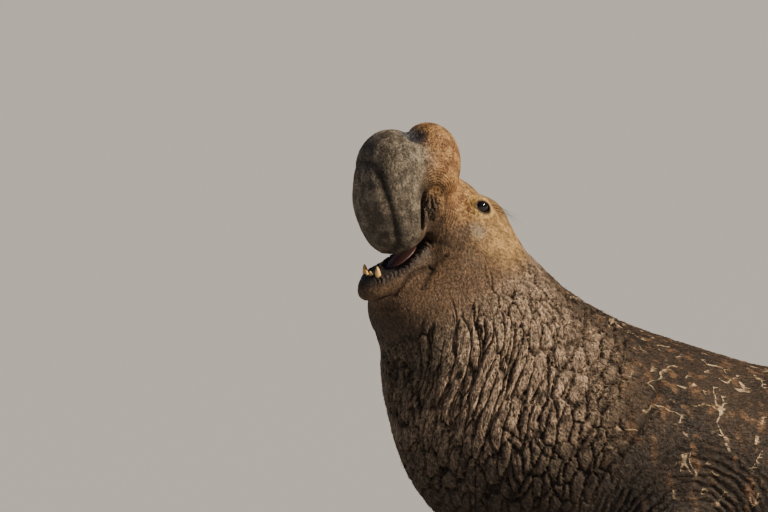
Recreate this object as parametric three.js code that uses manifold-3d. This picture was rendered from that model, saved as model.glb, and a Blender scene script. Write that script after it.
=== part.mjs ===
// An adult bull northern elephant seal, life-size and still: it lies on its belly with the chest reared up,
// the head thrown back and turned a little to its left, the trunk-like nose blown up into two lobes and the
// mouth open. It faces -X, its left side is -Y, and +Z is up. All lengths are in millimetres.
//
// The flesh is written as one signed field: a distance that is negative inside the animal. Balls, cones and
// a body swept along the spine are joined in it with soft blends. Each stretch of the animal is then read
// off as a closed faceted skin, at a mesh width that suits it, and parted from its neighbours by flat cuts.
import * as THREE from 'three';
import { mergeVertices } from 'three/addons/utils/BufferGeometryUtils.js';
import Module from 'manifold-3d';

// Driving dimensions
const MIDDLE = 1866; // the drawing's x at the middle of the finished animal
const GAP = 0.3; // clearance between two pieces that meet
const TURN_AXIS_X = 480; // the head turns about an upright line here
const TURN_ANGLE = 20; // degrees to the animal's left
const TURN_NORMAL = [-0.5, 0, 0.866]; // along the neck
const TURN_START = [480, 0, 700]; // where the neck begins to turn
const TURN_LENGTH = 550; // how far along the neck the turn takes
const SOFTNESS = 30; // rounding where the spine bends

// The body along the spine: x, z, half-depth of the body, width as a share of the depth
const SPINE = [
  [318, 1380, 140, 0.98],
  [292, 1240, 230, 0.98],
  [312, 1090, 333, 0.98],
  [397, 890, 425, 0.98],
  [625, 660, 497, 0.98],
  [980, 503, 517, 1.02],
  [1450, 430, 445, 1.14],
  [1950, 410, 425, 1.18],
  [2450, 355, 370, 1.18],
  [2900, 270, 285, 1.2],
  [3250, 195, 195, 1.25],
  [3480, 155, 120, 1.3],
];
const SPINE_STEPS = 84;

// Ellipsoids: centre, radii, pitch in degrees, yaw in degrees
const CRANIUM = { centre: [300, 0, 1398], radii: [168, 138, 140], pitch: -50 };
const CHEEK = { centre: [225, -75, 1375], radii: [130, 85, 130], pitch: 30 };
const MUZZLE = { centre: [140, 0, 1510], radii: [170, 105, 110], pitch: -40 };
const BROW = { centre: [285, -85, 1525], radii: [65, 45, 40], pitch: -40 };
const NOSE_RIDGE = { centre: [262, 0, 1552], radii: [140, 75, 72], pitch: -42 };
const FOREHEAD = { centre: [365, 0, 1490], radii: [95, 72, 72], pitch: -50 };
const REAR_LOBE = { centre: [112, 0, 1722], radii: [122, 118, 144], pitch: 10 };
const LOBE_BRIDGE = { centre: [75, 0, 1650], radii: [130, 125, 130] };
const FRONT_LOBE_LOW = { centre: [-64, 0, 1575], radii: [134, 150, 190], pitch: 10 };
const FRONT_LOBE_TOP = { centre: [-56, 0, 1712], radii: [122, 142, 134] };
const FRONT_LOBE_HEEL = { centre: [-30, 0, 1470], radii: [96, 130, 80], pitch: 30 };
const JAW = { centre: [-38, 0, 1318], radii: [178, 98, 78], pitch: 32 };
const THROAT = { centre: [88, 0, 1172], radii: [215, 205, 165] };
const BREAST = { centre: [322, 0, 600], radii: [250, 290, 380], pitch: 26 };
const MOUTH_FRONT = { centre: [-140, 0, 1340], radii: [110, 140, 24], pitch: 15 };
const MOUTH_BACK = { centre: [-8, 0, 1386], radii: [106, 128, 20], pitch: 36 };
const TONGUE = { centre: [-8, 0, 1366], radii: [72, 48, 13], pitch: 35 };
const TAIL = { centre: [3615, 0, 175], radii: [115, 42, 34], pitch: 8 };

// Limbs of the left side. The right side is their mirror image.
const ELBOW = [975, -430, 350];
const WRIST = [1025, -655, 125];
const ARM_RADII = [150, 98];
const PALM = { centre: [1105, -800, 50], radii: [190, 165, 50], pitch: 6, yaw: 38 };
const FINGER_LENGTHS = [285, 262, 232, 200, 168];
const FINGER_RADII = [42, 27];
const FINGER_ROOT = [1055, -755, 40]; // root of the first finger
const FINGER_ROOT_STEP = [36, -4]; // from one finger's root to the next
const FINGER_FAN = { start: -82, step: 19 }; // degrees
const FINGER_TIP_HEIGHT = 19;
const ANKLE = [3300, -90, 180];
const HEEL = [3420, -100, 200];
const SHANK_RADII = [100, 75];
const SOLE = { centre: [3640, -145, 232], radii: [220, 36, 150], yaw: 12 };
const TOE_LENGTHS = [500, 425, 385, 425, 500];
const TOE_RADII = [50, 30];
const TOE_FAN = { start: -24, step: 14 }; // degrees
const TOE_LEAN = 0.22; // how far a toe leans outwards, as a share of its length
const TOE_LOWEST = 25; // height of the lowest toe tip's middle
const CLAW_LENGTH = 46;
const CLAW_RADIUS = 9;

// Eyes and teeth, left side again
const EYE = { centre: [274, -98, 1545], radius: 33 };
const CANINE = { foot: [-137, -45, 1302], length: 42, radius: 11, lean: [-0.25, 0, 0.97] };
const INCISOR = { foot: [-150, -14, 1306], length: 20, radius: 6, lean: [-0.35, 0, 0.94] };

// Mesh widths along x, y and z
const WIDTH_TRUNK = [140, 118, 118];
const WIDTH_CHEST = [98, 98, 98];
const WIDTH_HEAD = [40, 40, 40];
const WIDTH_LOBE = [42, 42, 42];
const WIDTH_JAW = [31, 31, 31];
const WIDTH_FORE_FLIPPER = [52, 47, 30];
const WIDTH_HIND_FLIPPER = [50, 25, 36];

const radians = THREE.MathUtils.degToRad;

// Soft union of two fields, rounded over the width k
const blend = (a, b, k) => {
  const h = Math.max(k - Math.abs(a - b), 0) / k;
  return Math.min(a, b) - (h * h * k) / 4;
};

// Takes the second field out of the first, with a soft edge
const carve = (a, b, k) => -blend(-a, b, k);

function ball(p, { centre, radii, pitch = 0, yaw = 0 }) {
  let x = p[0] - centre[0];
  let y = p[1] - centre[1];
  let z = p[2] - centre[2];
  if (yaw) {
    const c = Math.cos(radians(yaw));
    const s = Math.sin(radians(yaw));
    [x, y] = [c * x + s * y, -s * x + c * y];
  }
  if (pitch) {
    const c = Math.cos(radians(pitch));
    const s = Math.sin(radians(pitch));
    [x, z] = [c * x + s * z, -s * x + c * z];
  }
  const near = Math.hypot(x / radii[0], y / radii[1], z / radii[2]);
  const slope = Math.hypot(x / radii[0] ** 2, y / radii[1] ** 2, z / radii[2] ** 2);
  return (near * (near - 1)) / Math.max(slope, 1e-9);
}

function cone(p, a, b, ra, rb) {
  const ab = b.map((v, i) => v - a[i]);
  const ap = p.map((v, i) => v - a[i]);
  const dot = ap[0] * ab[0] + ap[1] * ab[1] + ap[2] * ab[2];
  const whole = ab[0] ** 2 + ab[1] ** 2 + ab[2] ** 2;
  const t = Math.min(Math.max(dot / whole, 0), 1);
  const d = Math.hypot(ap[0] - t * ab[0], ap[1] - t * ab[1], ap[2] - t * ab[2]);
  return d - (ra + (rb - ra) * t);
}

// A smooth curve through the rows of numbers, read at even steps
function smoothRows(rows, steps) {
  const mirror = (a, b) => a.map((v, i) => 2 * v - b[i]);
  const ext = [mirror(rows[0], rows[1]), ...rows, mirror(rows.at(-1), rows.at(-2))];
  const out = [];
  for (let k = 0; k <= steps; k++) {
    const u = (k / steps) * (rows.length - 1);
    const s = Math.min(Math.floor(u), rows.length - 2);
    const t = u - s;
    const [a, b, c, d] = [0, 1, 2, 3].map((j) => ext[s + j]);
    out.push(
      b.map((_, i) => {
        const v0 = (c[i] - a[i]) / 2;
        const v1 = (d[i] - b[i]) / 2;
        const cubic = 2 * b[i] - 2 * c[i] + v0 + v1;
        const square = -3 * b[i] + 3 * c[i] - 2 * v0 - v1;
        return cubic * t ** 3 + square * t * t + v0 * t + b[i];
      }),
    );
  }
  return out;
}

const LINE = smoothRows(SPINE, SPINE_STEPS).map(([x, z, radius, wide], i, all) => {
  const before = all[Math.max(i - 1, 0)];
  const after = all[Math.min(i + 1, all.length - 1)];
  const share = i === 0 || i === all.length - 1 ? 1 : 2;
  const gap = Math.hypot(after[0] - before[0], after[1] - before[1]) / share;
  return { x, z, radius, wide, weight: gap / Math.sqrt(2 * Math.PI * SOFTNESS * radius) };
});

// The body swept along the spine: a soft union of many flattened balls
function sweptBody(p) {
  const d = LINE.map((s) => {
    const reach = Math.hypot(p[0] - s.x, p[2] - s.z, p[1] / s.wide);
    return (reach - s.radius) * Math.min(1, s.wide);
  });
  const least = Math.min(...d);
  const sum = d.reduce((all, v, i) => all + LINE[i].weight * Math.exp((least - v) / SOFTNESS), 0);
  return least - SOFTNESS * Math.log(sum);
}

function headField(q) {
  let d = ball(q, CRANIUM);
  d = blend(d, ball(q, CHEEK), 80);
  d = blend(d, ball(q, MUZZLE), 70);
  d = blend(d, ball(q, BROW), 50);
  d = blend(d, ball(q, NOSE_RIDGE), 40);
  return blend(d, ball(q, FOREHEAD), 30);
}

function noseField(q) {
  const back = blend(ball(q, REAR_LOBE), ball(q, LOBE_BRIDGE), 50);
  const high = blend(ball(q, FRONT_LOBE_LOW), ball(q, FRONT_LOBE_TOP), 60);
  const front = blend(high, ball(q, FRONT_LOBE_HEEL), 60);
  const t = Math.min(Math.max((q[2] - 1600) / 90, 0), 1); // the two lobes run together near the top
  return blend(back, front, 20 + 40 * t * t * (3 - 2 * t));
}

// Each finger runs from the wrist's side of the palm to its tip, as [root, tip]
const FINGERS = FINGER_LENGTHS.map((length, i) => {
  const a = radians(FINGER_FAN.start + FINGER_FAN.step * i);
  const [x, y, z] = FINGER_ROOT;
  const root = [x + FINGER_ROOT_STEP[0] * i, y + FINGER_ROOT_STEP[1] * i, z];
  return [root, [root[0] + length * Math.cos(a), root[1] + length * Math.sin(a), FINGER_TIP_HEIGHT]];
});

const TOES = TOE_LENGTHS.map((length, i) => {
  const a = radians(TOE_FAN.start + TOE_FAN.step * i);
  const height = Math.max(HEEL[2] + length * Math.sin(a), TOE_LOWEST);
  return [HEEL[0] + length * Math.cos(a), HEEL[1] - length * TOE_LEAN, height];
});

function foreFlipperField(q) {
  let d = cone(q, ELBOW, WRIST, ...ARM_RADII);
  d = blend(d, ball(q, PALM), 60);
  for (const [root, tip] of FINGERS) d = blend(d, cone(q, root, tip, ...FINGER_RADII), 62);
  return d;
}

function hindFlipperField(q) {
  let d = cone(q, ANKLE, HEEL, ...SHANK_RADII);
  d = blend(d, ball(q, SOLE), 50);
  for (const tip of TOES) d = blend(d, cone(q, HEEL, tip, ...TOE_RADII), 55);
  return d;
}

// The animal before the head turns, with or without its nose. The left side stands for both.
function flesh(p, withNose = true) {
  const q = [p[0], -Math.abs(p[1]), p[2]];
  let d = sweptBody(q);
  d = blend(d, ball(q, THROAT), 120);
  d = blend(d, ball(q, BREAST), 60);
  d = blend(d, headField(q), 90);
  d = blend(d, ball(q, JAW), 40);
  if (withNose) d = blend(d, noseField(q), 30);
  if (q[0] > 700 && q[0] < 1700) d = blend(d, foreFlipperField(q), 100);
  if (q[0] > 2900) d = blend(blend(d, ball(q, TAIL), 40), hindFlipperField(q), 60);
  return carve(d, blend(ball(q, MOUTH_FRONT), ball(q, MOUTH_BACK), 12), 12);
}

// Turns the neck and head about the upright line
function turned([x, y, z]) {
  const along = TURN_NORMAL[0] * (x - TURN_START[0]) + TURN_NORMAL[2] * (z - TURN_START[2]);
  const t = Math.min(Math.max(along / TURN_LENGTH, 0), 1);
  const a = radians(TURN_ANGLE) * t * t * (3 - 2 * t);
  const dx = x - TURN_AXIS_X;
  return [
    TURN_AXIS_X + dx * Math.cos(a) - y * Math.sin(a),
    dx * Math.sin(a) + y * Math.cos(a),
    z,
  ];
}

// Slides a point onto the surface of the field along the slope
function ontoSurface(field, p, reach) {
  for (let k = 0; k < 3; k++) {
    const d = field(p);
    if (Math.abs(d) > reach) return p;
    const slope = [0, 1, 2].map((i) => {
      const ahead = [...p];
      ahead[i] += 0.5;
      return (field(ahead) - d) / 0.5;
    });
    const square = slope.reduce((all, v) => all + v * v, 0);
    if (square < 0.04) return p;
    p = p.map((v, i) => v - (d * slope[i]) / square);
  }
  return p;
}

// Reads a box of the field off as a closed skin of quads, cut in two triangles each: one vertex for each
// cell that the surface passes through. The box's own border counts as outside, so the skin closes there.
function skin(field, low, high, width) {
  const n = low.map((v, i) => Math.ceil((high[i] - v) / width[i]));
  const size = n.map((v) => v + 1);
  const at = (i, j, k) => (i * size[1] + j) * size[2] + k;
  const values = new Float64Array(size[0] * size[1] * size[2]);
  for (let i = 0; i < size[0]; i++)
    for (let j = 0; j < size[1]; j++)
      for (let k = 0; k < size[2]; k++) {
        const border = !i || !j || !k || i === n[0] || j === n[1] || k === n[2];
        const p = [low[0] + i * width[0], low[1] + j * width[1], low[2] + k * width[2]];
        values[at(i, j, k)] = border ? 1 : field(p);
      }
  const corners = [0, 1, 2, 3, 4, 5, 6, 7].map((c) => [(c >> 2) & 1, (c >> 1) & 1, c & 1]);
  const edges = [];
  for (let a = 0; a < 8; a++)
    for (let bit = 1; bit < 8; bit *= 2) if (!(a & bit)) edges.push([a, a | bit]);
  const vertices = [];
  const cellOf = new Map();
  for (let i = 0; i < n[0]; i++)
    for (let j = 0; j < n[1]; j++)
      for (let k = 0; k < n[2]; k++) {
        const v = corners.map(([a, b, c]) => values[at(i + a, j + b, k + c)]);
        const crossed = edges.filter(([a, b]) => v[a] < 0 !== v[b] < 0);
        if (!crossed.length) continue;
        const sum = [0, 0, 0];
        for (const [a, b] of crossed) {
          const t = v[a] / (v[a] - v[b]);
          for (let m = 0; m < 3; m++) sum[m] += corners[a][m] + t * (corners[b][m] - corners[a][m]);
        }
        const p = sum.map((s, m) => low[m] + ([i, j, k][m] + s / crossed.length) * width[m]);
        cellOf.set(at(i, j, k), vertices.length);
        vertices.push(ontoSurface(field, p, Math.min(...width) * 0.6));
      }
  const triangles = [];
  for (let axis = 0; axis < 3; axis++) {
    const u = (axis + 1) % 3;
    const w = (axis + 2) % 3;
    const c = [0, 0, 0];
    for (c[axis] = 0; c[axis] < n[axis]; c[axis]++)
      for (c[u] = 1; c[u] < n[u]; c[u]++)
        for (c[w] = 1; c[w] < n[w]; c[w]++) {
          const e = [...c];
          e[axis]++;
          const inside = values[at(...c)] < 0;
          if (inside === values[at(...e)] < 0) continue;
          const ring = [[-1, -1], [0, -1], [0, 0], [-1, 0]].map(([du, dw]) => {
            const q = [...c];
            q[u] += du;
            q[w] += dw;
            return cellOf.get(at(...q));
          });
          if (!inside) ring.reverse();
          triangles.push(ring[0], ring[1], ring[2], ring[0], ring[2], ring[3]);
        }
  }
  return { vertices, triangles };
}

const wasm = await Module();
wasm.setup();

function solid(vertices, triangles) {
  const mesh = new wasm.Mesh({
    numProp: 3,
    vertProperties: new Float32Array(vertices.flat()),
    triVerts: new Uint32Array(triangles),
  });
  return new wasm.Manifold(mesh);
}

// A three.js geometry as a solid
function solidOf(geometry) {
  const bare = geometry.clone();
  bare.deleteAttribute('normal');
  bare.deleteAttribute('uv');
  const merged = mergeVertices(bare, 2e-3);
  const p = merged.attributes.position;
  const vertices = Array.from({ length: p.count }, (_, i) => [p.getX(i), p.getY(i), p.getZ(i)]);
  return solid(vertices, [...merged.index.array]);
}

// The part of space behind a flat cut: the cut runs through the point, its normal points out of what stays
function behind(point, normal, shift = 0) {
  const reach = 9000;
  const box = new THREE.BoxGeometry(reach, reach, reach);
  box.translate(0, 0, -reach / 2 + shift);
  const n = new THREE.Vector3(...normal).normalize();
  box.applyQuaternion(new THREE.Quaternion().setFromUnitVectors(new THREE.Vector3(0, 0, 1), n));
  box.translate(...point);
  return solidOf(box);
}

const flip = (normal) => normal.map((v) => -v);

// Keeps what lies behind every cut, half a gap clear of each but the floor
function within(body, cuts, shift = -GAP / 2) {
  return cuts.reduce((left, cut) => {
    const [point, normal] = cut;
    return left.intersect(behind(point, normal, cut === FLOOR ? 0 : shift));
  }, body);
}

// Drops the crumbs that the flat cuts leave beside a piece
function largest(body) {
  return body.decompose().sort((a, b) => b.volume() - a.volume())[0];
}

function turnedSolid(body) {
  const mesh = body.getMesh();
  const vertices = [];
  for (let i = 0; i < mesh.vertProperties.length; i += mesh.numProp)
    vertices.push(turned([...mesh.vertProperties.slice(i, i + 3)]));
  return solid(vertices, [...mesh.triVerts]);
}

// The flat cuts between the pieces
const alongNeck = (s) => TURN_START.map((v, i) => v + s * TURN_NORMAL[i]);
const sloped = (degrees) => [-Math.sin(radians(degrees)), 0, Math.cos(radians(degrees))];
const FLOOR = [[0, 0, 0], [0, 0, -1]];
const HEAD_CUT = [alongNeck(620), TURN_NORMAL];
const NECK_CUT = [alongNeck(300), TURN_NORMAL];
const CHEST_CUT = [[1330, 0, 0], [1, 0, 0]];
const TRUNK_CUT = [[2250, 0, 0], [1, 0, 0]];
const RUMP_CUT = [[3560, 0, 0], [1, 0, 0]];
const ARM_CUT_Y = 556;
const TAIL_CUT_Y = 50;
const MOUTH_FRONT_CUT = [[-66, 0, 1345], sloped(15)];
const MOUTH_BACK_CUT = [[-66, 0, 1345], sloped(36)];
const CHIN_CUT = [[-176, 0, 1186], sloped(38)];
const LOBE_CUT = [[58, 0, 0], [1, 0, 0]];
const NOSE_CUT = [[58, 0, 1560], sloped(20)];
const reversed = ([point, normal]) => [point, flip(normal)];
const mirrored = ([point, normal]) => [
  [point[0], -point[1], point[2]],
  [normal[0], -normal[1], normal[2]],
];

function stretch(low, high, width, withNose = true) {
  const { vertices, triangles } = skin((p) => flesh(p, withNose), low, high, width);
  return solid(vertices, triangles);
}

const bodies = {};
const trunk = stretch([1100, -700, -140], [3800, 700, 1130], WIDTH_TRUNK);
const chest = stretch([-220, -800, -140], [1500, 800, 1560], WIDTH_CHEST);
const face = stretch([-260, -330, 1040], [660, 330, 1700], WIDTH_HEAD);
const nose = stretch([-290, -265, 1260], [330, 265, 1930], WIDTH_LOBE);
const chin = stretch([-290, -200, 1090], [190, 200, 1520], WIDTH_JAW, false);
const leftHand = stretch([770, -1160, -70], [1480, -440, 560], WIDTH_FORE_FLIPPER);
const feet = stretch([3420, -290, -80], [4010, 290, 660], WIDTH_HIND_FLIPPER);

const leftArmCut = [[0, -ARM_CUT_Y, 0], [0, 1, 0]];
bodies.hindquarters = within(trunk, [FLOOR, reversed(TRUNK_CUT), RUMP_CUT]);
bodies.trunk = within(trunk, [FLOOR, TRUNK_CUT, reversed(CHEST_CUT)]);
bodies.chest = within(chest, [
  FLOOR,
  NECK_CUT,
  CHEST_CUT,
  reversed(leftArmCut),
  reversed(mirrored(leftArmCut)),
]);
bodies.neck = within(chest, [reversed(NECK_CUT), HEAD_CUT]);
bodies.fore_flipper_left = within(leftHand, [FLOOR, leftArmCut]);
const tailSide = [[0, -TAIL_CUT_Y, 0], [0, 1, 0]];
bodies.hind_flipper_left = within(feet, [FLOOR, reversed(RUMP_CUT), tailSide]);
bodies.hind_flipper_right = bodies.hind_flipper_left.mirror([0, 1, 0]);
bodies.tail = within(feet, [
  FLOOR,
  reversed(RUMP_CUT),
  reversed(tailSide),
  reversed(mirrored(tailSide)),
]);

// The face: the two lobes and the lower jaw are cut free, and the head is what is left
const space = behind([0, 0, 9000], [0, 0, 1]);
const muzzleCuts = [reversed(CHIN_CUT), LOBE_CUT];
const tipCuts = [reversed(MOUTH_FRONT_CUT), reversed(MOUTH_BACK_CUT), LOBE_CUT];
const baseCuts = [reversed(LOBE_CUT), reversed(NOSE_CUT)];
bodies.proboscis_tip = within(nose, tipCuts);
bodies.proboscis_base = within(nose, baseCuts);
bodies.lower_jaw = within(chin, muzzleCuts).subtract(within(space, tipCuts.slice(0, 2), GAP / 2));
bodies.head = [muzzleCuts, baseCuts].reduce(
  (left, cuts) => left.subtract(within(space, cuts, GAP / 2)),
  within(face, [reversed(HEAD_CUT)]),
);

// Pieces that sit in the flesh: each is set in a pocket a little larger than itself
const inserts = {};
const mirrorY = (geometry) => geometry.clone().scale(1, -1, 1);

function placed(geometry, foot, direction) {
  const n = new THREE.Vector3(...direction).normalize();
  geometry.applyQuaternion(new THREE.Quaternion().setFromUnitVectors(new THREE.Vector3(0, 1, 0), n));
  return geometry.translate(...foot);
}

// A tooth or claw: a round spike on its axis, rooted below its foot
function spike(length, radius, root, grow = 0, sides = 7) {
  const r = radius + grow;
  const profile = [
    [0, -root - grow],
    [r * 0.9, -root - grow],
    [r * 0.86, length * 0.35],
    [r * 0.52, length * 0.75],
    [0, length + grow * 2],
  ];
  return new THREE.LatheGeometry(profile.map(([x, y]) => new THREE.Vector2(x, y)), sides);
}

function insert(name, hosts, make, mirror = false) {
  const shape = (grow) => {
    const made = solidOf(make(grow));
    return mirror ? made.mirror([0, 1, 0]) : made;
  };
  inserts[name] = shape(0);
  for (const host of hosts) bodies[host] = bodies[host].subtract(shape(GAP));
}

function ellipsoid({ centre, radii, pitch = 0 }, grow, across, down) {
  const geometry = new THREE.SphereGeometry(1, across, down);
  geometry.rotateX(Math.PI / 2);
  geometry.scale(...radii.map((r) => r + grow));
  geometry.rotateY(-radians(pitch));
  return geometry.translate(...centre);
}

const eyeShape = (grow) => {
  const r = EYE.radius;
  return ellipsoid({ centre: EYE.centre, radii: [r, r, r] }, grow, 12, 7);
};
const canineShape = (grow) =>
  placed(spike(CANINE.length, CANINE.radius, 22, grow), CANINE.foot, CANINE.lean);
const incisorShape = (grow) =>
  placed(spike(INCISOR.length, INCISOR.radius, 12, grow, 6), INCISOR.foot, INCISOR.lean);
for (const [side, mirror] of [['left', false], ['right', true]]) {
  insert(`eye_${side}`, ['head'], eyeShape, mirror);
  insert(`canine_${side}`, ['lower_jaw'], canineShape, mirror);
  insert(`incisor_${side}`, ['lower_jaw'], incisorShape, mirror);
}
insert('tongue', ['lower_jaw', 'head', 'proboscis_tip', 'proboscis_base'], (grow) =>
  ellipsoid(TONGUE, grow, 10, 6),
);

// Each finger ends in a claw that grows from the top of its tip
FINGERS.forEach(([root, tip], i) => {
  const end = new THREE.Vector3(...tip);
  const reach = end.clone().sub(new THREE.Vector3(...root)).normalize();
  const foot = end.addScaledVector(reach, 10).add(new THREE.Vector3(0, 0, 10));
  const lean = [reach.x, reach.y, -0.12];
  insert(`claw_left_${i + 1}`, ['fore_flipper_left'], (grow) =>
    placed(spike(CLAW_LENGTH, CLAW_RADIUS, 12, grow, 6), foot.toArray(), lean),
  );
  inserts[`claw_right_${i + 1}`] = inserts[`claw_left_${i + 1}`].mirror([0, 1, 0]);
});
bodies.fore_flipper_right = bodies.fore_flipper_left.mirror([0, 1, 0]);

// Colour, roughness and metalness of each piece
const LOOKS = {
  proboscis_tip: ['#6f6149', 0.62, 0],
  proboscis_base: ['#9a7650', 0.6, 0],
  head: ['#8b6c4c', 0.66, 0],
  lower_jaw: ['#5f4d3f', 0.6, 0],
  tongue: ['#8d4f48', 0.4, 0],
  neck: ['#7d6353', 0.74, 0],
  chest: ['#5c4639', 0.74, 0],
  trunk: ['#4a382c', 0.72, 0],
  hindquarters: ['#4d3b30', 0.72, 0],
  tail: ['#43342b', 0.72, 0],
  fore_flipper: ['#46372e', 0.7, 0],
  hind_flipper: ['#43352d', 0.7, 0],
  eye: ['#120c09', 0.08, 0],
  canine: ['#cfa24e', 0.35, 0],
  incisor: ['#c99b4b', 0.35, 0],
  claw: ['#2b241f', 0.4, 0],
};

const seal = new THREE.Group();
seal.name = 'elephant_seal';
seal.position.x = -MIDDLE;

function geometryOf(body) {
  const mesh = body.getMesh();
  const positions = [];
  for (let i = 0; i < mesh.vertProperties.length; i += mesh.numProp)
    positions.push(...mesh.vertProperties.slice(i, i + 3));
  const geometry = new THREE.BufferGeometry();
  geometry.setAttribute('position', new THREE.Float32BufferAttribute(positions, 3));
  geometry.setIndex([...mesh.triVerts]);
  return geometry;
}

function addMesh(name, body) {
  const geometry = geometryOf(body);
  geometry.computeVertexNormals();
  const key = Object.keys(LOOKS).find((k) => name === k || name.startsWith(`${k}_`));
  const [color, roughness, metalness] = LOOKS[key];
  const made = new THREE.Mesh(geometry, new THREE.MeshStandardMaterial({ color, roughness, metalness }));
  made.name = name;
  seal.add(made);
}

for (const [name, body] of Object.entries({ ...bodies, ...inserts })) {
  const whole = solidOf(geometryOf(turnedSolid(largest(body))));
  addMesh(name, largest(whole));
}

export default seal;
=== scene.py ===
import math

import bpy
import numpy as np
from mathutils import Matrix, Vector, noise


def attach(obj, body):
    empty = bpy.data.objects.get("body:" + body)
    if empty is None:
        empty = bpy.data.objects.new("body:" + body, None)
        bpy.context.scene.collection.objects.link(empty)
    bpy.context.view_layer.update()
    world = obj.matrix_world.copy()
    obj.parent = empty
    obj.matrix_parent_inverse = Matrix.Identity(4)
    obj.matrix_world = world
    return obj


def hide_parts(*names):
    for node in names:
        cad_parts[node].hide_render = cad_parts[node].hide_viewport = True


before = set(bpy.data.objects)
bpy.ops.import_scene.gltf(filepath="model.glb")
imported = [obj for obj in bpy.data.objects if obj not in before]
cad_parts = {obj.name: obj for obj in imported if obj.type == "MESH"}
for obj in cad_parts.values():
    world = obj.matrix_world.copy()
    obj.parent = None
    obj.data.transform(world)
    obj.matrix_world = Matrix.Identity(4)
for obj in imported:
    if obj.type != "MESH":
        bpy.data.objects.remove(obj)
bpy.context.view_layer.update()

# %% [markdown]
# # A bull northern elephant seal, life-size
# The animal lies on its belly with the chest reared up and the head thrown back. The nose is blown up into
# two lobes and the mouth is open. The sizes below are the ones that the solid model was drawn with, here in
# metres. The drawing has its own x, and MIDDLE slides it to the middle of the finished animal.
# Everything is seeded, so the model comes out the same each time.

# %% Sizes and seed
MIDDLE = 1.866
COAT_DEPTH = 0.005
FLOOR_GAP = 0.0006
SEED = 7
rng = np.random.default_rng(SEED)

# %% [markdown]
# ## Camera, floor and light
# The camera stands on the animal's left, a little ahead of the shoulder and slightly above, as a person with
# a long lens would. The floor is plain and pale. One large lamp, well round to the camera's right, is a low
# sun turned into studio light, so that each wrinkle throws a small shadow, and a weak blue sky fills the
# shaded front.

# %% Camera
CAMERA_TURN, CAMERA_RISE = math.radians(-12), math.radians(7)
CAMERA_DISTANCE = 12.0
LENS, SENSOR = 148, 36
AIM = (0.48, 0, 1.336)
AIM_ASIDE = 0.48  # AIM lies this far to the right of the picture's middle


def row(v):
    return Vector((v[0] - MIDDLE, v[1], v[2]))


right = Vector((math.cos(CAMERA_TURN), math.sin(CAMERA_TURN), 0))
back = Vector((math.sin(CAMERA_TURN) * math.cos(CAMERA_RISE), -math.cos(CAMERA_TURN) * math.cos(CAMERA_RISE),
               math.sin(CAMERA_RISE)))
target = row(AIM) - AIM_ASIDE * right
camera = bpy.data.objects.new("camera", bpy.data.cameras.new("camera"))
camera.data.lens = LENS
camera.data.sensor_width = SENSOR
camera.data.clip_end = 400
camera.location = target + CAMERA_DISTANCE * back
camera.rotation_euler = back.to_track_quat("Z", "Y").to_euler()
bpy.context.collection.objects.link(camera)
bpy.context.scene.camera = camera
print("camera", CAMERA_DISTANCE, "m away, lens", LENS, "mm")

# %% Floor
FLOOR_REACH = 300
floor_mesh = bpy.data.meshes.new("floor")
floor_corners = [(FLOOR_REACH * i, FLOOR_REACH * j, 0) for i, j in ((-1, -1), (1, -1), (1, 1), (-1, 1))]
floor_mesh.from_pydata(floor_corners, [], [(0, 1, 2, 3)])
floor = bpy.data.objects.new("floor", floor_mesh)
bpy.context.collection.objects.link(floor)
floor_finish = bpy.data.materials.new("floor")
floor_finish.use_nodes = True
floor_finish.node_tree.nodes["Principled BSDF"].inputs["Base Color"].default_value = (0.57, 0.56, 0.55, 1)
floor_finish.node_tree.nodes["Principled BSDF"].inputs["Roughness"].default_value = 0.9
floor_mesh.materials.append(floor_finish)
print("floor", 2 * FLOOR_REACH, "m wide")

# %% Lamp and sky
KEY_TURN, KEY_RISE, KEY_SOFTNESS = math.radians(66), math.radians(31), math.radians(7)
KEY_POWER, KEY_COLOUR = 6.0, (1.0, 0.87, 0.68)
SKY_POWER, SKY_COLOUR = 0.15, (0.45, 0.62, 1.0, 1)
level_back = Vector((back.x, back.y, 0)).normalized()
key_way = (level_back * math.cos(KEY_TURN) + right * math.sin(KEY_TURN)) * math.cos(KEY_RISE)
key_way += Vector((0, 0, math.sin(KEY_RISE)))
key = bpy.data.objects.new("key", bpy.data.lights.new("key", "SUN"))
key.data.angle = KEY_SOFTNESS
key.data.energy = KEY_POWER
key.data.color = KEY_COLOUR
key.rotation_euler = key_way.to_track_quat("Z", "Y").to_euler()
bpy.context.collection.objects.link(key)
world = bpy.data.worlds.new("world")
world.use_nodes = True
world.node_tree.nodes["Background"].inputs["Color"].default_value = SKY_COLOUR
world.node_tree.nodes["Background"].inputs["Strength"].default_value = SKY_POWER
bpy.context.scene.world = world

# %% [markdown]
# ## The flesh as a signed field
# A seal is a bag of blubber: no part of it starts or stops, so it isn't built from separate balls and tubes.
# Each mass is written as a signed distance, negative inside, and neighbouring masses are joined by a soft
# minimum, like wet clay. The skin is then read off that field in one go, so that it has no seams. Sculpting
# by hand or metaballs could do the same, but a written field keeps the exact sizes of the solid model.


# %% Clay kit
def length(v):
    return np.sqrt((v * v).sum(-1))


def blend(a, b, k):
    h = np.maximum(k - np.abs(a - b), 0) / k
    return np.minimum(a, b) - h * h * k / 4


def carve(a, b, k):
    return -blend(-a, b, k)


def step(a, b, x):
    t = np.clip((x - a) / (b - a), 0, 1)
    return t * t * (3 - 2 * t)


def ball(p, centre, radii, pitch=0.0, yaw=0.0):
    x, y, z = (p - np.array(centre)).T
    c, s = math.cos(math.radians(yaw)), math.sin(math.radians(yaw))
    x, y = c * x + s * y, -s * x + c * y
    c, s = math.cos(math.radians(pitch)), math.sin(math.radians(pitch))
    x, z = c * x + s * z, -s * x + c * z
    q = np.stack([x, y, z], 1)
    near = length(q / np.array(radii))
    slope = length(q / np.array(radii) ** 2)
    return near * (near - 1) / np.maximum(slope, 1e-9)


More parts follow.
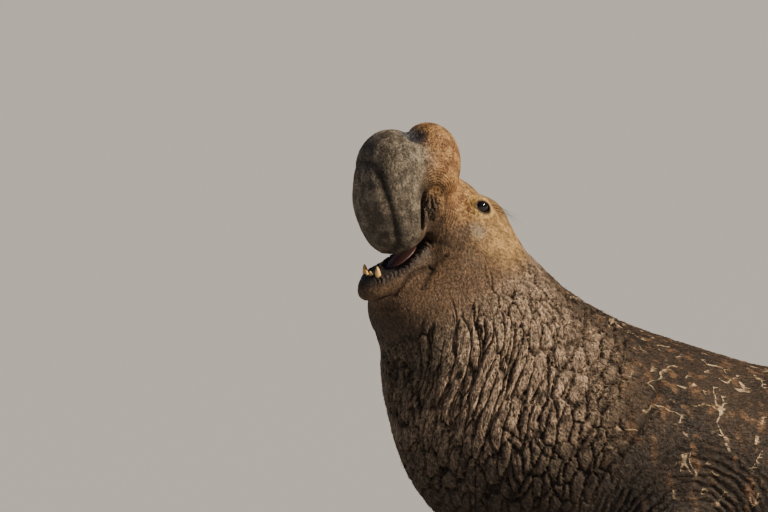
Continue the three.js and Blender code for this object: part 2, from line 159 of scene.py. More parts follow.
def cone(p, a, b, ra, rb):
    a, b = np.array(a), np.array(b)
    t = np.clip((p - a) @ (b - a) / ((b - a) @ (b - a)), 0, 1)
    return length(p - a - t[:, None] * (b - a)) - (ra + (rb - ra) * t)


def smooth_rows(rows, steps):
    rows = np.array(rows, float)
    ext = np.vstack([2 * rows[0] - rows[1], rows, 2 * rows[-1] - rows[-2]])
    u = np.linspace(0, len(rows) - 1, steps + 1)
    s = np.minimum(u.astype(int), len(rows) - 2)
    t = (u - s)[:, None]
    a, b, c, d = (ext[s + i] for i in range(4))
    v0, v1 = (c - a) / 2, (d - b) / 2
    return (2 * b - 2 * c + v0 + v1) * t**3 + (-3 * b + 3 * c - 2 * v0 - v1) * t * t + v0 * t + b


# %% Spine and limbs
SPINE = [  # x, z, half-depth of the body, width as a share of the depth
    (0.318, 1.380, 0.140, 0.98), (0.292, 1.240, 0.230, 0.98), (0.312, 1.090, 0.333, 0.98),
    (0.397, 0.890, 0.425, 0.98), (0.625, 0.660, 0.497, 0.98), (0.980, 0.503, 0.517, 1.02),
    (1.450, 0.430, 0.445, 1.14), (1.950, 0.410, 0.425, 1.18), (2.450, 0.355, 0.370, 1.18),
    (2.900, 0.270, 0.285, 1.20), (3.250, 0.195, 0.195, 1.25), (3.480, 0.155, 0.120, 1.30),
]
LINE = smooth_rows(SPINE, 84)
SPACING = np.hypot(*np.gradient(LINE[:, :2], axis=0).T)
ALONG = np.concatenate([[0], np.cumsum(np.hypot(*np.diff(LINE[:, :2], axis=0).T))])
SOFTNESS = 0.03
print("spine", round(ALONG[-1], 2), "m long")
BATCH = 30000  # points worked on together


def swept_body(q):
    out = np.empty(len(q))
    weight = SPACING / np.sqrt(2 * np.pi * SOFTNESS * LINE[:, 2])
    for i in range(0, len(q), BATCH):
        p = q[i:i + BATCH]
        reach = np.sqrt((p[:, 0, None] - LINE[:, 0]) ** 2 + (p[:, 2, None] - LINE[:, 1]) ** 2
                        + (p[:, 1, None] / LINE[:, 3]) ** 2)
        d = (reach - LINE[:, 2]) * np.minimum(1, LINE[:, 3])
        least = d.min(1)
        share = (weight * np.exp((least[:, None] - d) / SOFTNESS)).sum(1)
        out[i:i + BATCH] = least - SOFTNESS * np.log(share)
    return out


# %% Masses of head and chest: middle, radii and tilt in degrees, where minus lifts the front end
SKULL = (0.300, 0, 1.398), (0.168, 0.138, 0.140), -50
CHEEK = (0.225, -0.075, 1.375), (0.130, 0.085, 0.130), 30
MUZZLE = (0.140, 0, 1.510), (0.170, 0.105, 0.110), -40
BROW = (0.285, -0.085, 1.525), (0.065, 0.045, 0.040), -40
CROWN = (0.262, 0, 1.552), (0.140, 0.075, 0.072), -42
FOREHEAD = (0.365, 0, 1.490), (0.095, 0.072, 0.072), -50
REAR_LOBE = (0.112, 0, 1.722), (0.122, 0.118, 0.144), 10
REAR_LOBE_ROOT = (0.075, 0, 1.650), (0.130, 0.125, 0.130)
FRONT_LOBE_LOW = (-0.064, 0, 1.575), (0.134, 0.150, 0.190), 10
FRONT_LOBE_TOP = (-0.056, 0, 1.712), (0.122, 0.142, 0.134)
FRONT_LOBE_HEEL = (-0.030, 0, 1.470), (0.096, 0.130, 0.080), 30
THROAT = (0.088, 0, 1.172), (0.215, 0.205, 0.165)
JAW = (-0.038, 0, 1.318), (0.178, 0.098, 0.078), 32
BREAST = (0.322, 0, 0.600), (0.250, 0.290, 0.380), 26


def head_mass(q):
    d = ball(q, *SKULL)
    for mass, k in ((CHEEK, 0.08), (MUZZLE, 0.07), (BROW, 0.05), (CROWN, 0.04), (FOREHEAD, 0.03)):
        d = blend(d, ball(q, *mass), k)
    return d


def nose_mass(q):
    rear = blend(ball(q, *REAR_LOBE), ball(q, *REAR_LOBE_ROOT), 0.05)
    front = blend(ball(q, *FRONT_LOBE_LOW), ball(q, *FRONT_LOBE_TOP), 0.06)
    front = blend(front, ball(q, *FRONT_LOBE_HEEL), 0.06)
    return blend(rear, front, 0.02 + 0.04 * step(1.60, 1.69, q[:, 2]))


print("rear lobe of the nose up to about", round(REAR_LOBE[0][2] + REAR_LOBE[1][2], 2), "m")

# %% Flippers and tail
FINGER_REACHES = (0.285, 0.262, 0.232, 0.200, 0.168)
FINGER_ROOT, FINGER_ROOT_STEP = (1.055, -0.755, 0.040), (0.036, -0.004)
FINGER_FAN = (-82, 19)  # first direction and the step to the next, in degrees
FINGER_TIP_HEIGHT = 0.019
SHOULDER, WRIST = (0.975, -0.430, 0.350), (1.025, -0.655, 0.125)
PALM = (1.105, -0.800, 0.050), (0.190, 0.165, 0.050), 6, 38
TOE_REACHES = (0.500, 0.425, 0.385, 0.425, 0.500)
ANKLE, HEEL = (3.300, -0.090, 0.180), np.array((3.420, -0.100, 0.200))
TOE_FAN = (-24, 14)
TOE_LEAN, TOE_LOWEST = 0.22, 0.025
SOLE = (3.640, -0.145, 0.232), (0.220, 0.036, 0.150), 0, 12
TAIL = (3.615, 0, 0.175), (0.115, 0.042, 0.034), 8

FINGERS, TOES = [], []
for i, reach in enumerate(FINGER_REACHES):
    a = math.radians(FINGER_FAN[0] + FINGER_FAN[1] * i)
    root = np.array((FINGER_ROOT[0] + FINGER_ROOT_STEP[0] * i, FINGER_ROOT[1] + FINGER_ROOT_STEP[1] * i,
                     FINGER_ROOT[2]))
    tip = np.array((root[0] + reach * math.cos(a), root[1] + reach * math.sin(a), FINGER_TIP_HEIGHT))
    FINGERS.append((root, tip))
for i, reach in enumerate(TOE_REACHES):
    a = math.radians(TOE_FAN[0] + TOE_FAN[1] * i)
    TOES.append(np.array((HEEL[0] + reach * math.cos(a), HEEL[1] - reach * TOE_LEAN,
                          max(HEEL[2] + reach * math.sin(a), TOE_LOWEST))))


def fore_flipper(q):
    d = cone(q, SHOULDER, WRIST, 0.150, 0.098)
    d = blend(d, ball(q, *PALM), 0.06)
    for root, tip in FINGERS:
        d = blend(d, cone(q, root, tip, 0.042, 0.027), 0.062)
    return d


def hind_flipper(q):
    d = cone(q, ANKLE, HEEL, 0.100, 0.075)
    d = blend(d, ball(q, *SOLE), 0.05)
    for tip in TOES:
        d = blend(d, cone(q, HEEL, tip, 0.050, 0.030), 0.055)
    return d


print("fingers:", len(FINGERS), "toes:", len(TOES), "on each side")

# %% [markdown]
# The face gets its own cuts in the same field: the open mouth, the deep pocket between the blown-up nose and
# the cheek, and a pair of lids. The lids are a slightly larger ball round the eyeball with an almond-shaped
# opening cut through its front, so that they really are skin over an eye and not lines painted on it.

# %% Face cuts
EYE, EYE_RADIUS, LID_RADIUS, EYE_TILT = np.array((0.274, -0.098, 1.545)), 0.033, 0.0415, -28
LID_OPENING = EYE + (0.0, -0.034, 0.001), (0.0245, 0.040, 0.0140), EYE_TILT
POCKET = (0.062, -0.132, 1.566), (0.062, 0.036, 0.074)
CUSHION = (0.078, -0.078, 1.562), (0.040, 0.040, 0.060)
CRESCENT = (0.018, -0.128, 1.548), (0.0150, 0.064, 0.072), -12
NOSTRIL = (0.010, -0.060, 1.832), (0.040, 0.050, 0.034), 20
MOUTH_FRONT = (-0.140, 0, 1.340), (0.110, 0.140, 0.024), 15
MOUTH_BACK = (-0.008, 0, 1.386), (0.106, 0.128, 0.020), 36


def face_cuts(d, q):
    d = blend(d, ball(q, EYE, (LID_RADIUS,) * 3), 0.020)
    d = carve(d, ball(q, *LID_OPENING), 0.004)
    d = carve(d, ball(q, *POCKET), 0.014)
    d = blend(d, ball(q, *CUSHION), 0.014)
    d = carve(d, ball(q, *CRESCENT), 0.008)
    d = carve(d, ball(q, *NOSTRIL), 0.016)
    mouth = blend(ball(q, *MOUTH_FRONT), ball(q, *MOUTH_BACK), 0.012)
    return carve(d, mouth, 0.012)


def left_side(p):
    q = np.array(p)
    q[:, 1] = -np.abs(q[:, 1])
    return q


# %% Flesh
# Far from a mass its blend changes nothing, so each mass is read only in its own stretch of x and z.
FRONT_ENDS, BREAST_TOP, HEAD_FOOT = 0.95, 1.15, 0.75
ARM_STARTS, ARM_ENDS, ARM_TOP = 0.70, 1.70, 0.75
TAIL_STARTS = 2.9


def flesh(p):
    q = left_side(p)
    d = swept_body(q)
    near = (q[:, 0] < FRONT_ENDS) & (q[:, 2] < BREAST_TOP)
    d[near] = blend(d[near], ball(q[near], *BREAST), 0.06)
    near = (q[:, 0] < FRONT_ENDS) & (q[:, 2] > HEAD_FOOT)
    h = q[near]
    e = blend(d[near], ball(h, *THROAT), 0.12)
    e = blend(e, head_mass(h), 0.09)
    e = blend(e, ball(h, *JAW), 0.04)
    e = blend(e, nose_mass(h), 0.03)
    d[near] = face_cuts(e, h)
    near = (q[:, 0] > ARM_STARTS) & (q[:, 0] < ARM_ENDS) & (q[:, 2] < ARM_TOP)
    d[near] = blend(d[near], fore_flipper(q[near]), 0.10)
    near = q[:, 0] > TAIL_STARTS
    e = blend(d[near], ball(q[near], *TAIL), 0.04)
    d[near] = blend(e, hind_flipper(q[near]), 0.06)
    return d


def skin_field(p):
    return np.maximum(flesh(p) + COAT_DEPTH, FLOOR_GAP - p[:, 2])


# %% [markdown]
# ## Reading the skin off the field
# The space round the animal is cut into boxes that are small at the face and larger along the back. Where
# the field changes sign inside a box, the skin passes through it and gets one point there; four neighbouring
# boxes make one face. This is called a surface net. It gives an even mesh of four-sided faces, denser where
# a person looks first.


# %% Box widths
def ruler(*stretches):
    marks = [stretches[0][0]]
    for start, end, width in stretches:
        n = max(1, round((end - start) / width / 4)) * 4
        marks += list(np.linspace(start, end, n + 1)[1:])
    return np.array(marks)


widen = 1.0
xs = ruler((-0.27, 0.42, 0.0038 * widen), (0.42, 0.86, 0.0045 * widen), (0.86, 1.45, 0.010 * widen),
           (1.45, 3.20, 0.017 * widen), (3.20, 4.05, 0.010 * widen))
half = ruler((0, 0.17, 0.0038 * widen), (0.17, 0.54, 0.0047 * widen), (0.54, 1.16, 0.010 * widen))
ys = np.concatenate([-half[:0:-1], half])
zs = ruler((-0.02, 0.42, 0.009 * widen), (0.42, 1.14, 0.0047 * widen), (1.14, 1.90, 0.0038 * widen))
print("boxes:", len(xs), "x", len(ys), "x", len(zs))


# %% Surface net
# The field is read at every fourth box corner first, then at all corners of the boxes near the skin.
def surface_net(field, axes, ratio=4):
    shape = np.array([len(a) for a in axes])
    coarse = [a[::ratio] for a in axes]
    grid = np.stack(np.meshgrid(*coarse, indexing="ij"), -1).reshape(-1, 3)
    d = field(grid).reshape([len(c) for c in coarse])
    cell = [np.diff(c) for c in coarse]
    reach = np.sqrt(cell[0][:, None, None] ** 2 + cell[1][None, :, None] ** 2 + cell[2][None, None, :] ** 2)
    low = np.full(reach.shape, np.inf)
    signs = np.zeros(reach.shape, int)
    for i in (0, 1):
        for j in (0, 1):
            for k in (0, 1):
                part = d[i:d.shape[0] - 1 + i, j:d.shape[1] - 1 + j, k:d.shape[2] - 1 + k]
                low = np.minimum(low, np.abs(part))
                signs += part < 0
    cells = np.argwhere((low < reach * 0.9) | ((signs > 0) & (signs < 8)))
    inside = np.repeat(np.repeat(np.repeat(d[:-1, :-1, :-1] < 0, ratio, 0), ratio, 1), ratio, 2)
    values = np.where(np.pad(inside, ((0, 1),) * 3, mode="edge"), -1.0, 1.0).astype(np.float32)
    offsets = np.stack(np.meshgrid(*[np.arange(ratio + 1)] * 3, indexing="ij"), -1).reshape(-1, 3)
    flat = np.unique(np.ravel_multi_index((cells[:, None] * ratio + offsets).reshape(-1, 3).T, shape))
    ijk = np.unravel_index(flat, shape)
    points = np.stack([axes[m][ijk[m]] for m in range(3)], 1)
    values.reshape(-1)[flat] = field(points)
    print("field read at", len(points), "points")
    return net_faces(values, axes)


def net_faces(values, axes):
    s = values < 0
    n = np.array(values.shape) - 1
    corners = [(i, j, k) for i in (0, 1) for j in (0, 1) for k in (0, 1)]
    count = sum(s[i:n[0] + i, j:n[1] + j, k:n[2] + k].astype(np.int8) for i, j, k in corners)
    active = (count > 0) & (count < 8)
    cells = np.argwhere(active)
    v = np.stack([values[cells[:, 0] + i, cells[:, 1] + j, cells[:, 2] + k] for i, j, k in corners], 1)
    total, crossed = np.zeros((len(cells), 3)), np.zeros(len(cells))
    for a in range(8):
        for bit in (1, 2, 4):
            if a & bit:
                continue
            b = a | bit
            cross = (v[:, a] < 0) != (v[:, b] < 0)
            t = np.where(cross, v[:, a] / np.where(cross, v[:, a] - v[:, b], 1), 0)
            ca, cb = np.array(corners[a]), np.array(corners[b])
            total += np.where(cross[:, None], ca + t[:, None] * (cb - ca), 0)
            crossed += cross
    share = total / crossed[:, None]
    widths = [np.diff(axes[m])[cells[:, m]] for m in range(3)]
    points = np.stack([axes[m][cells[:, m]] + share[:, m] * widths[m] for m in range(3)], 1)
    index = np.full(active.shape, -1, np.int32)
    index[active] = np.arange(len(cells))
    quads = []
    for axis in range(3):
        u, w = (axis + 1) % 3, (axis + 2) % 3
        first, second = [slice(1, -1)] * 3, [slice(1, -1)] * 3
        first[axis], second[axis] = slice(0, -1), slice(1, None)
        a, b = s[tuple(first)], s[tuple(second)]
        edge = np.argwhere(a != b)
        outward = a[tuple(edge.T)]
        edge[:, u] += 1
        edge[:, w] += 1
        ring = []
        for du, dw in ((-1, -1), (0, -1), (0, 0), (-1, 0)):
            q = edge.copy()
            q[:, u] += du
            q[:, w] += dw
            ring.append(index[tuple(q.T)])
        ring = np.stack(ring, 1)
        ring[~outward] = ring[~outward][:, ::-1]
        quads.append(ring)
    return points, np.vstack(quads)


def corner_normals(points, quads):
    a, b, c, d = (points[quads[:, i]] for i in range(4))
    face = np.cross(c - a, d - b)
    n = np.stack([sum(np.bincount(quads[:, i], face[:, m], len(points)) for i in range(4))
                  for m in range(3)], 1)
    return n / np.maximum(length(n), 1e-12)[:, None]


def onto_surface(field, p, feel=5e-4, furthest=0.004):
    d = field(p)
    slope = np.stack([(field(p + np.eye(3)[i] * feel) - d) / feel for i in range(3)], 1)
    move = d / np.maximum((slope * slope).sum(1), 0.2)
    return p - np.clip(move, -furthest, furthest)[:, None] * slope


points, quads = surface_net(skin_field, (xs, ys, zs))
points = onto_surface(skin_field, points)
print("skin:", len(points), "points,", len(quads), "faces")

# %% [markdown]
# ## Folds and wrinkles
# The hide is thick and stiff, so where the neck bends it cracks into upright plates, and round the root of
# the nose it gathers into rings. These are moved in the mesh itself, a few millimetres deep, because they
# catch the light and break the outline. Cracks follow a cell pattern that is stretched along the neck;
# rings follow the distance from the pocket behind the nose; single creases follow drawn lines.


# %% Crease helpers
def line_distance(x, z, line):
    line = np.array(line)
    best = np.full(len(x), 9.0)
    for a, b in zip(line[:-1], line[1:]):
        ab = b - a
        t = np.clip(((x - a[0]) * ab[0] + (z - a[1]) * ab[1]) / (ab @ ab), 0, 1)
        best = np.minimum(best, np.hypot(x - a[0] - t * ab[0], z - a[1] - t * ab[1]))
    return best


def groove(x, z, line, width):
    return np.exp(-((line_distance(x, z, line) / width) ** 2))


def soft_noise(p, scale, octaves=3):
    return np.array([noise.fractal(Vector(v), 0.8, 2.1, octaves) for v in (p / np.array(scale)).tolist()])


def cell_gap(p):
    rows = [noise.voronoi(Vector(v))[0] for v in p.tolist()]
    d = np.array([(r[0], r[1]) for r in rows])
    return d[:, 1] - d[:, 0]


NECK_FOOT, NECK_WAY = (0.48, 0.70), (-0.5, 0.866)


def up_neck(x, z):
    return NECK_WAY[0] * (x - NECK_FOOT[0]) + NECK_WAY[1] * (z - NECK_FOOT[1])


def behind_shield(x, z):
    return x - 0.66 - 0.30 * (z - 0.63)


# %% Neck shield
PLATE_RISE, FISSURE, SMALL_CRACK, PLATE_SWELL = 0.0070, 0.0140, 0.0035, 0.003
PEBBLE, PEBBLE_GAP = 0.021, 0.003
PLATE_DEEP = 0.044  # a plate's width across the animal; its other widths change along the neck
q = left_side(points)
x, y, z = q.T
along_neck = up_neck(x, z)
normals = corner_normals(points, quads)
relief = np.zeros(len(points))
# The next mask darkens the colour in cracks, creases, hollows and the troughs of crinkles, lip waves and
# shoulder arcs: it is painted shade.
crack_shade = np.zeros(len(points))
ragged = 0.05 * np.sin(37 * x + 11 * z) + 0.035 * np.sin(83 * x + 5)
shield = step(0.66, 0.46, along_neck + ragged) * step(-0.42, -0.12, along_neck)
shield *= step(0.20, 0.0, behind_shield(x, z)) * step(0.30, 0.45, z)
pick = shield > 0.01
p = points[pick]
warp = np.stack([soft_noise(p + 3.1, (0.09, 0.09, 0.15)), soft_noise(p + 7.7, (0.09, 0.09, 0.15))], 1)
stations = np.linspace(-0.5, 1.5, 401)
across = np.cumsum(0.005 / (0.037 + 0.045 * step(0.25, 0.70, stations)))
lean = step(0.42, 0.85, p[:, 0]) * 0.9
tall = 0.34 - 0.20 * step(0.30, 0.55, p[:, 0]) - 0.05 * step(0.80, 0.60, p[:, 2])
plates = np.stack([np.interp(p[:, 0] - (p[:, 2] - 0.95) * lean + 0.013 * warp[:, 0], stations, across),
                   (p[:, 1] + 0.012 * warp[:, 1]) / PLATE_DEEP,
                   (p[:, 2] - 0.85 + 0.03 * warp[:, 1]) / tall], 1)
gap = cell_gap(plates)
small_gap = cell_gap(plates * (2.1, 2.1, 3.4) + 5.3)
crack_shade[pick] = np.maximum(step(0.13, 0.0, gap), 0.6 * step(0.10, 0.0, small_gap)) * shield[pick]
relief[pick] = shield[pick] * (PLATE_RISE * step(0.0, 0.40, gap) - FISSURE * step(0.15, 0.0, gap)
                               - SMALL_CRACK * step(0.12, 0.0, small_gap) + PLATE_SWELL * warp[:, 1])
pebble_gap = cell_gap(p / PEBBLE)
relief[pick] -= shield[pick] * step(0.72, 0.5, p[:, 2]) * PEBBLE_GAP * step(0.25, 0.0, pebble_gap)
print("wrinkled points:", int(pick.sum()))

# %% Rings and crinkles behind the nose
RING_WIDTH, CRINKLE_DEPTH = 0.0105, 0.0045
CUSHION_MARK = (0.074, 1.563)
ring_x, ring_z = x - POCKET[0][0], z - POCKET[0][2]
ring_reach = np.hypot(ring_x / 0.80, ring_z)
ring_angle = np.degrees(np.arctan2(ring_z, ring_x))
beside = step(-0.05, -0.09, y)
rings = step(0.066, 0.078, ring_reach) * step(0.150, 0.110, ring_reach) * beside
rings *= step(-75, -35, ring_angle) * step(178, 150, ring_angle)
wobble = soft_noise(points, (0.05, 0.05, 0.05), 2)
ring_phase = ring_reach / RING_WIDTH + 0.35 * wobble
mark_x, mark_z = x - CUSHION_MARK[0], z - CUSHION_MARK[1]
pocket = np.exp(-(((mark_x / 0.036) ** 2 + (mark_z / 0.058) ** 2) ** 2)) * beside
crinkle = np.sin(2 * np.pi * (x / 0.0125 + 1.6 * wobble + 5.0 * (z - 1.56)))
crinkle = np.minimum(crinkle, np.sin(2 * np.pi * (z / 0.021 + 1.9 * wobble)) + 0.5)
relief += pocket * CRINKLE_DEPTH * crinkle
crack_shade += 0.95 * pocket * step(0.4, -0.8, crinkle)
hollow = np.exp(-(((x - CRESCENT[0][0]) / 0.020) ** 2 + ((z - CRESCENT[0][2]) / 0.072) ** 2)) * beside
oval = np.hypot(mark_x / 0.046, mark_z / 0.068)
crack_shade += hollow + 0.55 * np.exp(-(((oval - 1.12) / 0.16) ** 2)) * beside
print("points in the rings:", int((rings > 0.5).sum()))

# %% Creases and lip
CREASES = [  # line in x and z, width, depth
    # below the lower lip, from the lip to the throat, at the corner of the mouth
    ([(-0.185, 1.190), (-0.142, 1.212), (-0.097, 1.236), (-0.075, 1.261), (-0.048, 1.294), (-0.012, 1.318),
      (0.045, 1.335)], 0.0065, 0.011),
    ([(-0.020, 1.262), (0.000, 1.278), (0.040, 1.317), (0.071, 1.357), (0.10, 1.375)], 0.007, 0.006),
    ([(0.070, 1.430), (0.125, 1.405), (0.165, 1.425), (0.190, 1.470)], 0.012, 0.004),
    # below the eye, and the slit of the ear
    ([(0.268, 1.497), (0.293, 1.498), (0.322, 1.512)], 0.0045, 0.0035),
    ([(0.376, 1.374), (0.374, 1.350)], 0.0045, 0.007),
    # down the front lobe of the nose
    ([(-0.172, 1.730), (-0.147, 1.613), (-0.120, 1.516), (-0.080, 1.407)], 0.013, 0.008),
    ([(-0.110, 1.700), (-0.085, 1.600), (-0.050, 1.480)], 0.012, 0.003),
    # long folds of the neck and the front of the shoulder
    ([(0.720, 1.170), (0.689, 1.120), (0.580, 1.006), (0.457, 0.881), (0.400, 0.830)], 0.0075, 0.013),
    ([(0.770, 0.980), (0.694, 0.910), (0.559, 0.772), (0.419, 0.699), (0.326, 0.757)], 0.0080, 0.013),
    ([(0.456, 0.714), (0.500, 0.650), (0.536, 0.636), (0.617, 0.664), (0.700, 0.720)], 0.0080, 0.011),
    ([(0.860, 1.030), (0.790, 0.930), (0.700, 0.800), (0.640, 0.700)], 0.0090, 0.008),
    ([(0.560, 1.230), (0.500, 1.080), (0.440, 0.960)], 0.0080, 0.007),
    ([(0.640, 1.190), (0.580, 1.090), (0.530, 1.010)], 0.0080, 0.006),
    ([(0.960, 0.900), (0.870, 0.760), (0.770, 0.640), (0.640, 0.540)], 0.0110, 0.009),
]
LIP_LINE, LIP_WIDTH = [(-0.14, 1.292), (-0.06, 1.327), (0.04, 1.395), (0.08, 1.425)], 0.012
for line, width, depth in CREASES:
    cut = groove(x + 0.004 * wobble, z, line, width)
    relief -= depth * cut
    crack_shade = np.maximum(crack_shade, cut * min(1, depth / 0.008) * 0.8)
lip = groove(x, z, LIP_LINE, LIP_WIDTH) * step(-0.02, -0.05, y) * step(1.46, 1.43, z)
lip_wave = np.sin(2 * np.pi * (x / 0.017 + 1.3 * wobble))
relief += lip * (0.0028 * lip_wave + 0.0015)
crack_shade += 0.6 * lip * step(0.0, -0.9, lip_wave)
print("creases:", len(CREASES))

# %% Shoulder arcs, back and belly
ARC_HUB, ARC_WIDTH, ARC_DEPTH = (1.040, 0.33), 0.030, 0.0055
RUMP_FOLD, RUMP_DEPTH = 0.07, 0.003
DEEPEST, HIGHEST = -0.018, 0.0045
arc_reach = np.hypot(x - ARC_HUB[0], z - ARC_HUB[1]) + 0.012 * wobble
arcs = step(0.10, 0.15, arc_reach) * step(0.42, 0.30, arc_reach) * step(-0.30, -0.42, y) * step(0.20, 0.34, z)
arc_wave = np.sin(2 * np.pi * arc_reach / ARC_WIDTH)
relief += arcs * ARC_DEPTH * arc_wave
crack_shade += 0.55 * arcs * step(0.1, -0.9, arc_wave)
large = soft_noise(points, (0.34, 0.22, 0.30), 2)
relief += step(0.5, 0.9, x) * 0.004 * large
small = soft_noise(points, (0.055, 0.055, 0.055), 3)
relief += 0.0012 * small * step(0.06, 0.16, z)
rump_folds = step(2.7, 3.0, x) * step(3.5, 3.3, x) * step(0.05, 0.15, z)
relief += rump_folds * RUMP_DEPTH * np.sin(2 * np.pi * (x + 0.05 * large) / RUMP_FOLD)
relief *= step(0.002, 0.03, z) * step(0.026, 0.042, length(q - (EYE + (0, -0.02, 0))))
relief = np.clip(relief, DEEPEST, HIGHEST)
spot = points.copy()
points = points + normals * relief[:, None]
points[:, 2] = np.maximum(points[:, 2], FLOOR_GAP)
crack_shade = np.clip(crack_shade, 0, 1)
creases = np.stack([ring_phase, rings, crack_shade], 1)
print("relief from", round(relief.min() * 1000, 1), "to", round(relief.max() * 1000, 1), "mm")


# %% [markdown]
# The drawing is straight, and the photographed bull looks a little towards the camera. The neck is turned
# about an upright line, starting at the shoulders, and every point that is added later goes through the same
# turn, so that eyes, teeth and coat stay in place.

# %% Turn of the neck and making pieces
NECK_TURN, TURN_REACH = math.radians(20), 0.55


def turned(v):
    v = np.atleast_2d(np.array(v, float))
    a = NECK_TURN * step(0, TURN_REACH, up_neck(v[:, 0], v[:, 2]))
    dx = v[:, 0] - NECK_FOOT[0]
    return np.stack([NECK_FOOT[0] + dx * np.cos(a) - v[:, 1] * np.sin(a) - MIDDLE,
                     dx * np.sin(a) + v[:, 1] * np.cos(a), v[:, 2]], 1)


def finished(name, mesh, material, smooth):
    mesh.polygons.foreach_set("use_smooth", np.full(len(mesh.polygons), smooth))
    mesh.materials.append(material)
    piece = bpy.data.objects.new(name, mesh)
    bpy.context.collection.objects.link(piece)
    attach(piece, "root")
    return piece


def big_piece(name, verts, faces, material, smooth=True):
    mesh = bpy.data.meshes.new(name)
    verts = np.asarray(verts, np.float32)
    faces = np.asarray(faces, np.int32)
    mesh.vertices.add(len(verts))
    mesh.vertices.foreach_set("co", verts.ravel())
    sides = faces.shape[1]
    mesh.loops.add(faces.size)
    mesh.loops.foreach_set("vertex_index", faces.ravel())
    mesh.polygons.add(len(faces))
    mesh.polygons.foreach_set("loop_start", np.arange(0, faces.size, sides, dtype=np.int32))
    mesh.polygons.foreach_set("loop_total", np.full(len(faces), sides, np.int32))
    mesh.update(calc_edges=True)
    return finished(name, mesh, material, smooth)


def carry(piece, name, values):
    values = np.asarray(values, np.float32)
    kind = "FLOAT_VECTOR" if values.ndim == 2 else "FLOAT"
    layer = piece.data.attributes.new(name, kind, "POINT")
    layer.data.foreach_set("vector" if values.ndim == 2 else "value", values.ravel())


def small_piece(name, spots, faces, material, marks_at, smooth=True):
    mesh = bpy.data.meshes.new(name)
    mesh.from_pydata(turned(spots).tolist(), [], [tuple(dict.fromkeys(f)) for f in faces])
    piece = finished(name, mesh, material, smooth)
    carry(piece, "spot", marks_at)
    return piece


print("the neck turns by", round(math.degrees(NECK_TURN)), "degrees")

# %% [markdown]
# ## Markings and painted shade
# A bull's face is golden round the eye and orange brown over the bridge, the blown-up nose is olive grey, the
# neck shield is pinkish brown and the back dark chocolate. Each of these is a soft zone round a place on the
# animal, kept as a number at each point of the skin. Other zones are painted shade: low on the chest and
# round its front (there partly the hide's own darker tone), in the armpit, on the lower nose, by the nostril
# and on part of the lids. The coat takes the same numbers from the skin under its roots, so both wear the
# same markings and the same painted shade.

# %% Zones: middle, radii and softness of the edge
EYE_GOLD = (0.30, -0.11, 1.545), (0.105, 0.10, 0.085), 0.6
CHEEK_GOLD = (0.34, -0.12, 1.42), (0.11, 0.14, 0.12), 0.7
BRIDGE = (0.150, -0.02, 1.72), (0.135, 0.20, 0.18), 0.4
NOSE_ROOT = (0.175, -0.09, 1.585), (0.085, 0.09, 0.09), 0.6
CHEEK_GREY = (0.228, -0.13, 1.462), (0.030, 0.08, 0.026), 0.8
# The armpit zone is painted shadow in the deep crease in front of the shoulder.
ARMPIT_SHADOW = (0.700, -0.50, 0.520), (0.170, 0.30, 0.085), 0.6
# The lower-lobe zone is painted shade on the lower front lobe of the nose.
LOW_LOBE_SHADE = (-0.120, -0.08, 1.450), (0.110, 0.14, 0.120), 0.7
# The nostril zone is painted shade, blue from the sky, in the hollow in front of the rear lobe.
NOSTRIL_HOLLOW_SHADE = (0.008, -0.045, 1.824), (0.050, 0.070, 0.034), 0.4
DARK_LIPS, DARK_LIPS_WIDTH = [(-0.19, 1.29), (-0.06, 1.335), (0.08, 1.43)], 0.03
ALMOND_LONG, ALMOND_HIGH = 0.035, 0.0235


def zone(p, centre, radii, soft):
    reach = length((left_side(p) - np.array(centre)) / np.array(radii))
    return step(1 + soft, 1 - soft, reach)


def round_eye(x, y, z):
    c, s = math.cos(math.radians(EYE_TILT)), math.sin(math.radians(EYE_TILT))
    u, w = c * (x - EYE[0]) + s * (z - EYE[2]), -s * (x - EYE[0]) + c * (z - EYE[2])
    almond, on_side = np.hypot(u / ALMOND_LONG, w / ALMOND_HIGH), step(-0.05, -0.08, y)
    # The first mask, the dark almond, is partly dark lid skin and partly painted shade on the lids.
    return step(1.12, 0.92, almond) * on_side, np.exp(-(((almond - 1.38) / 0.17) ** 2)) * on_side


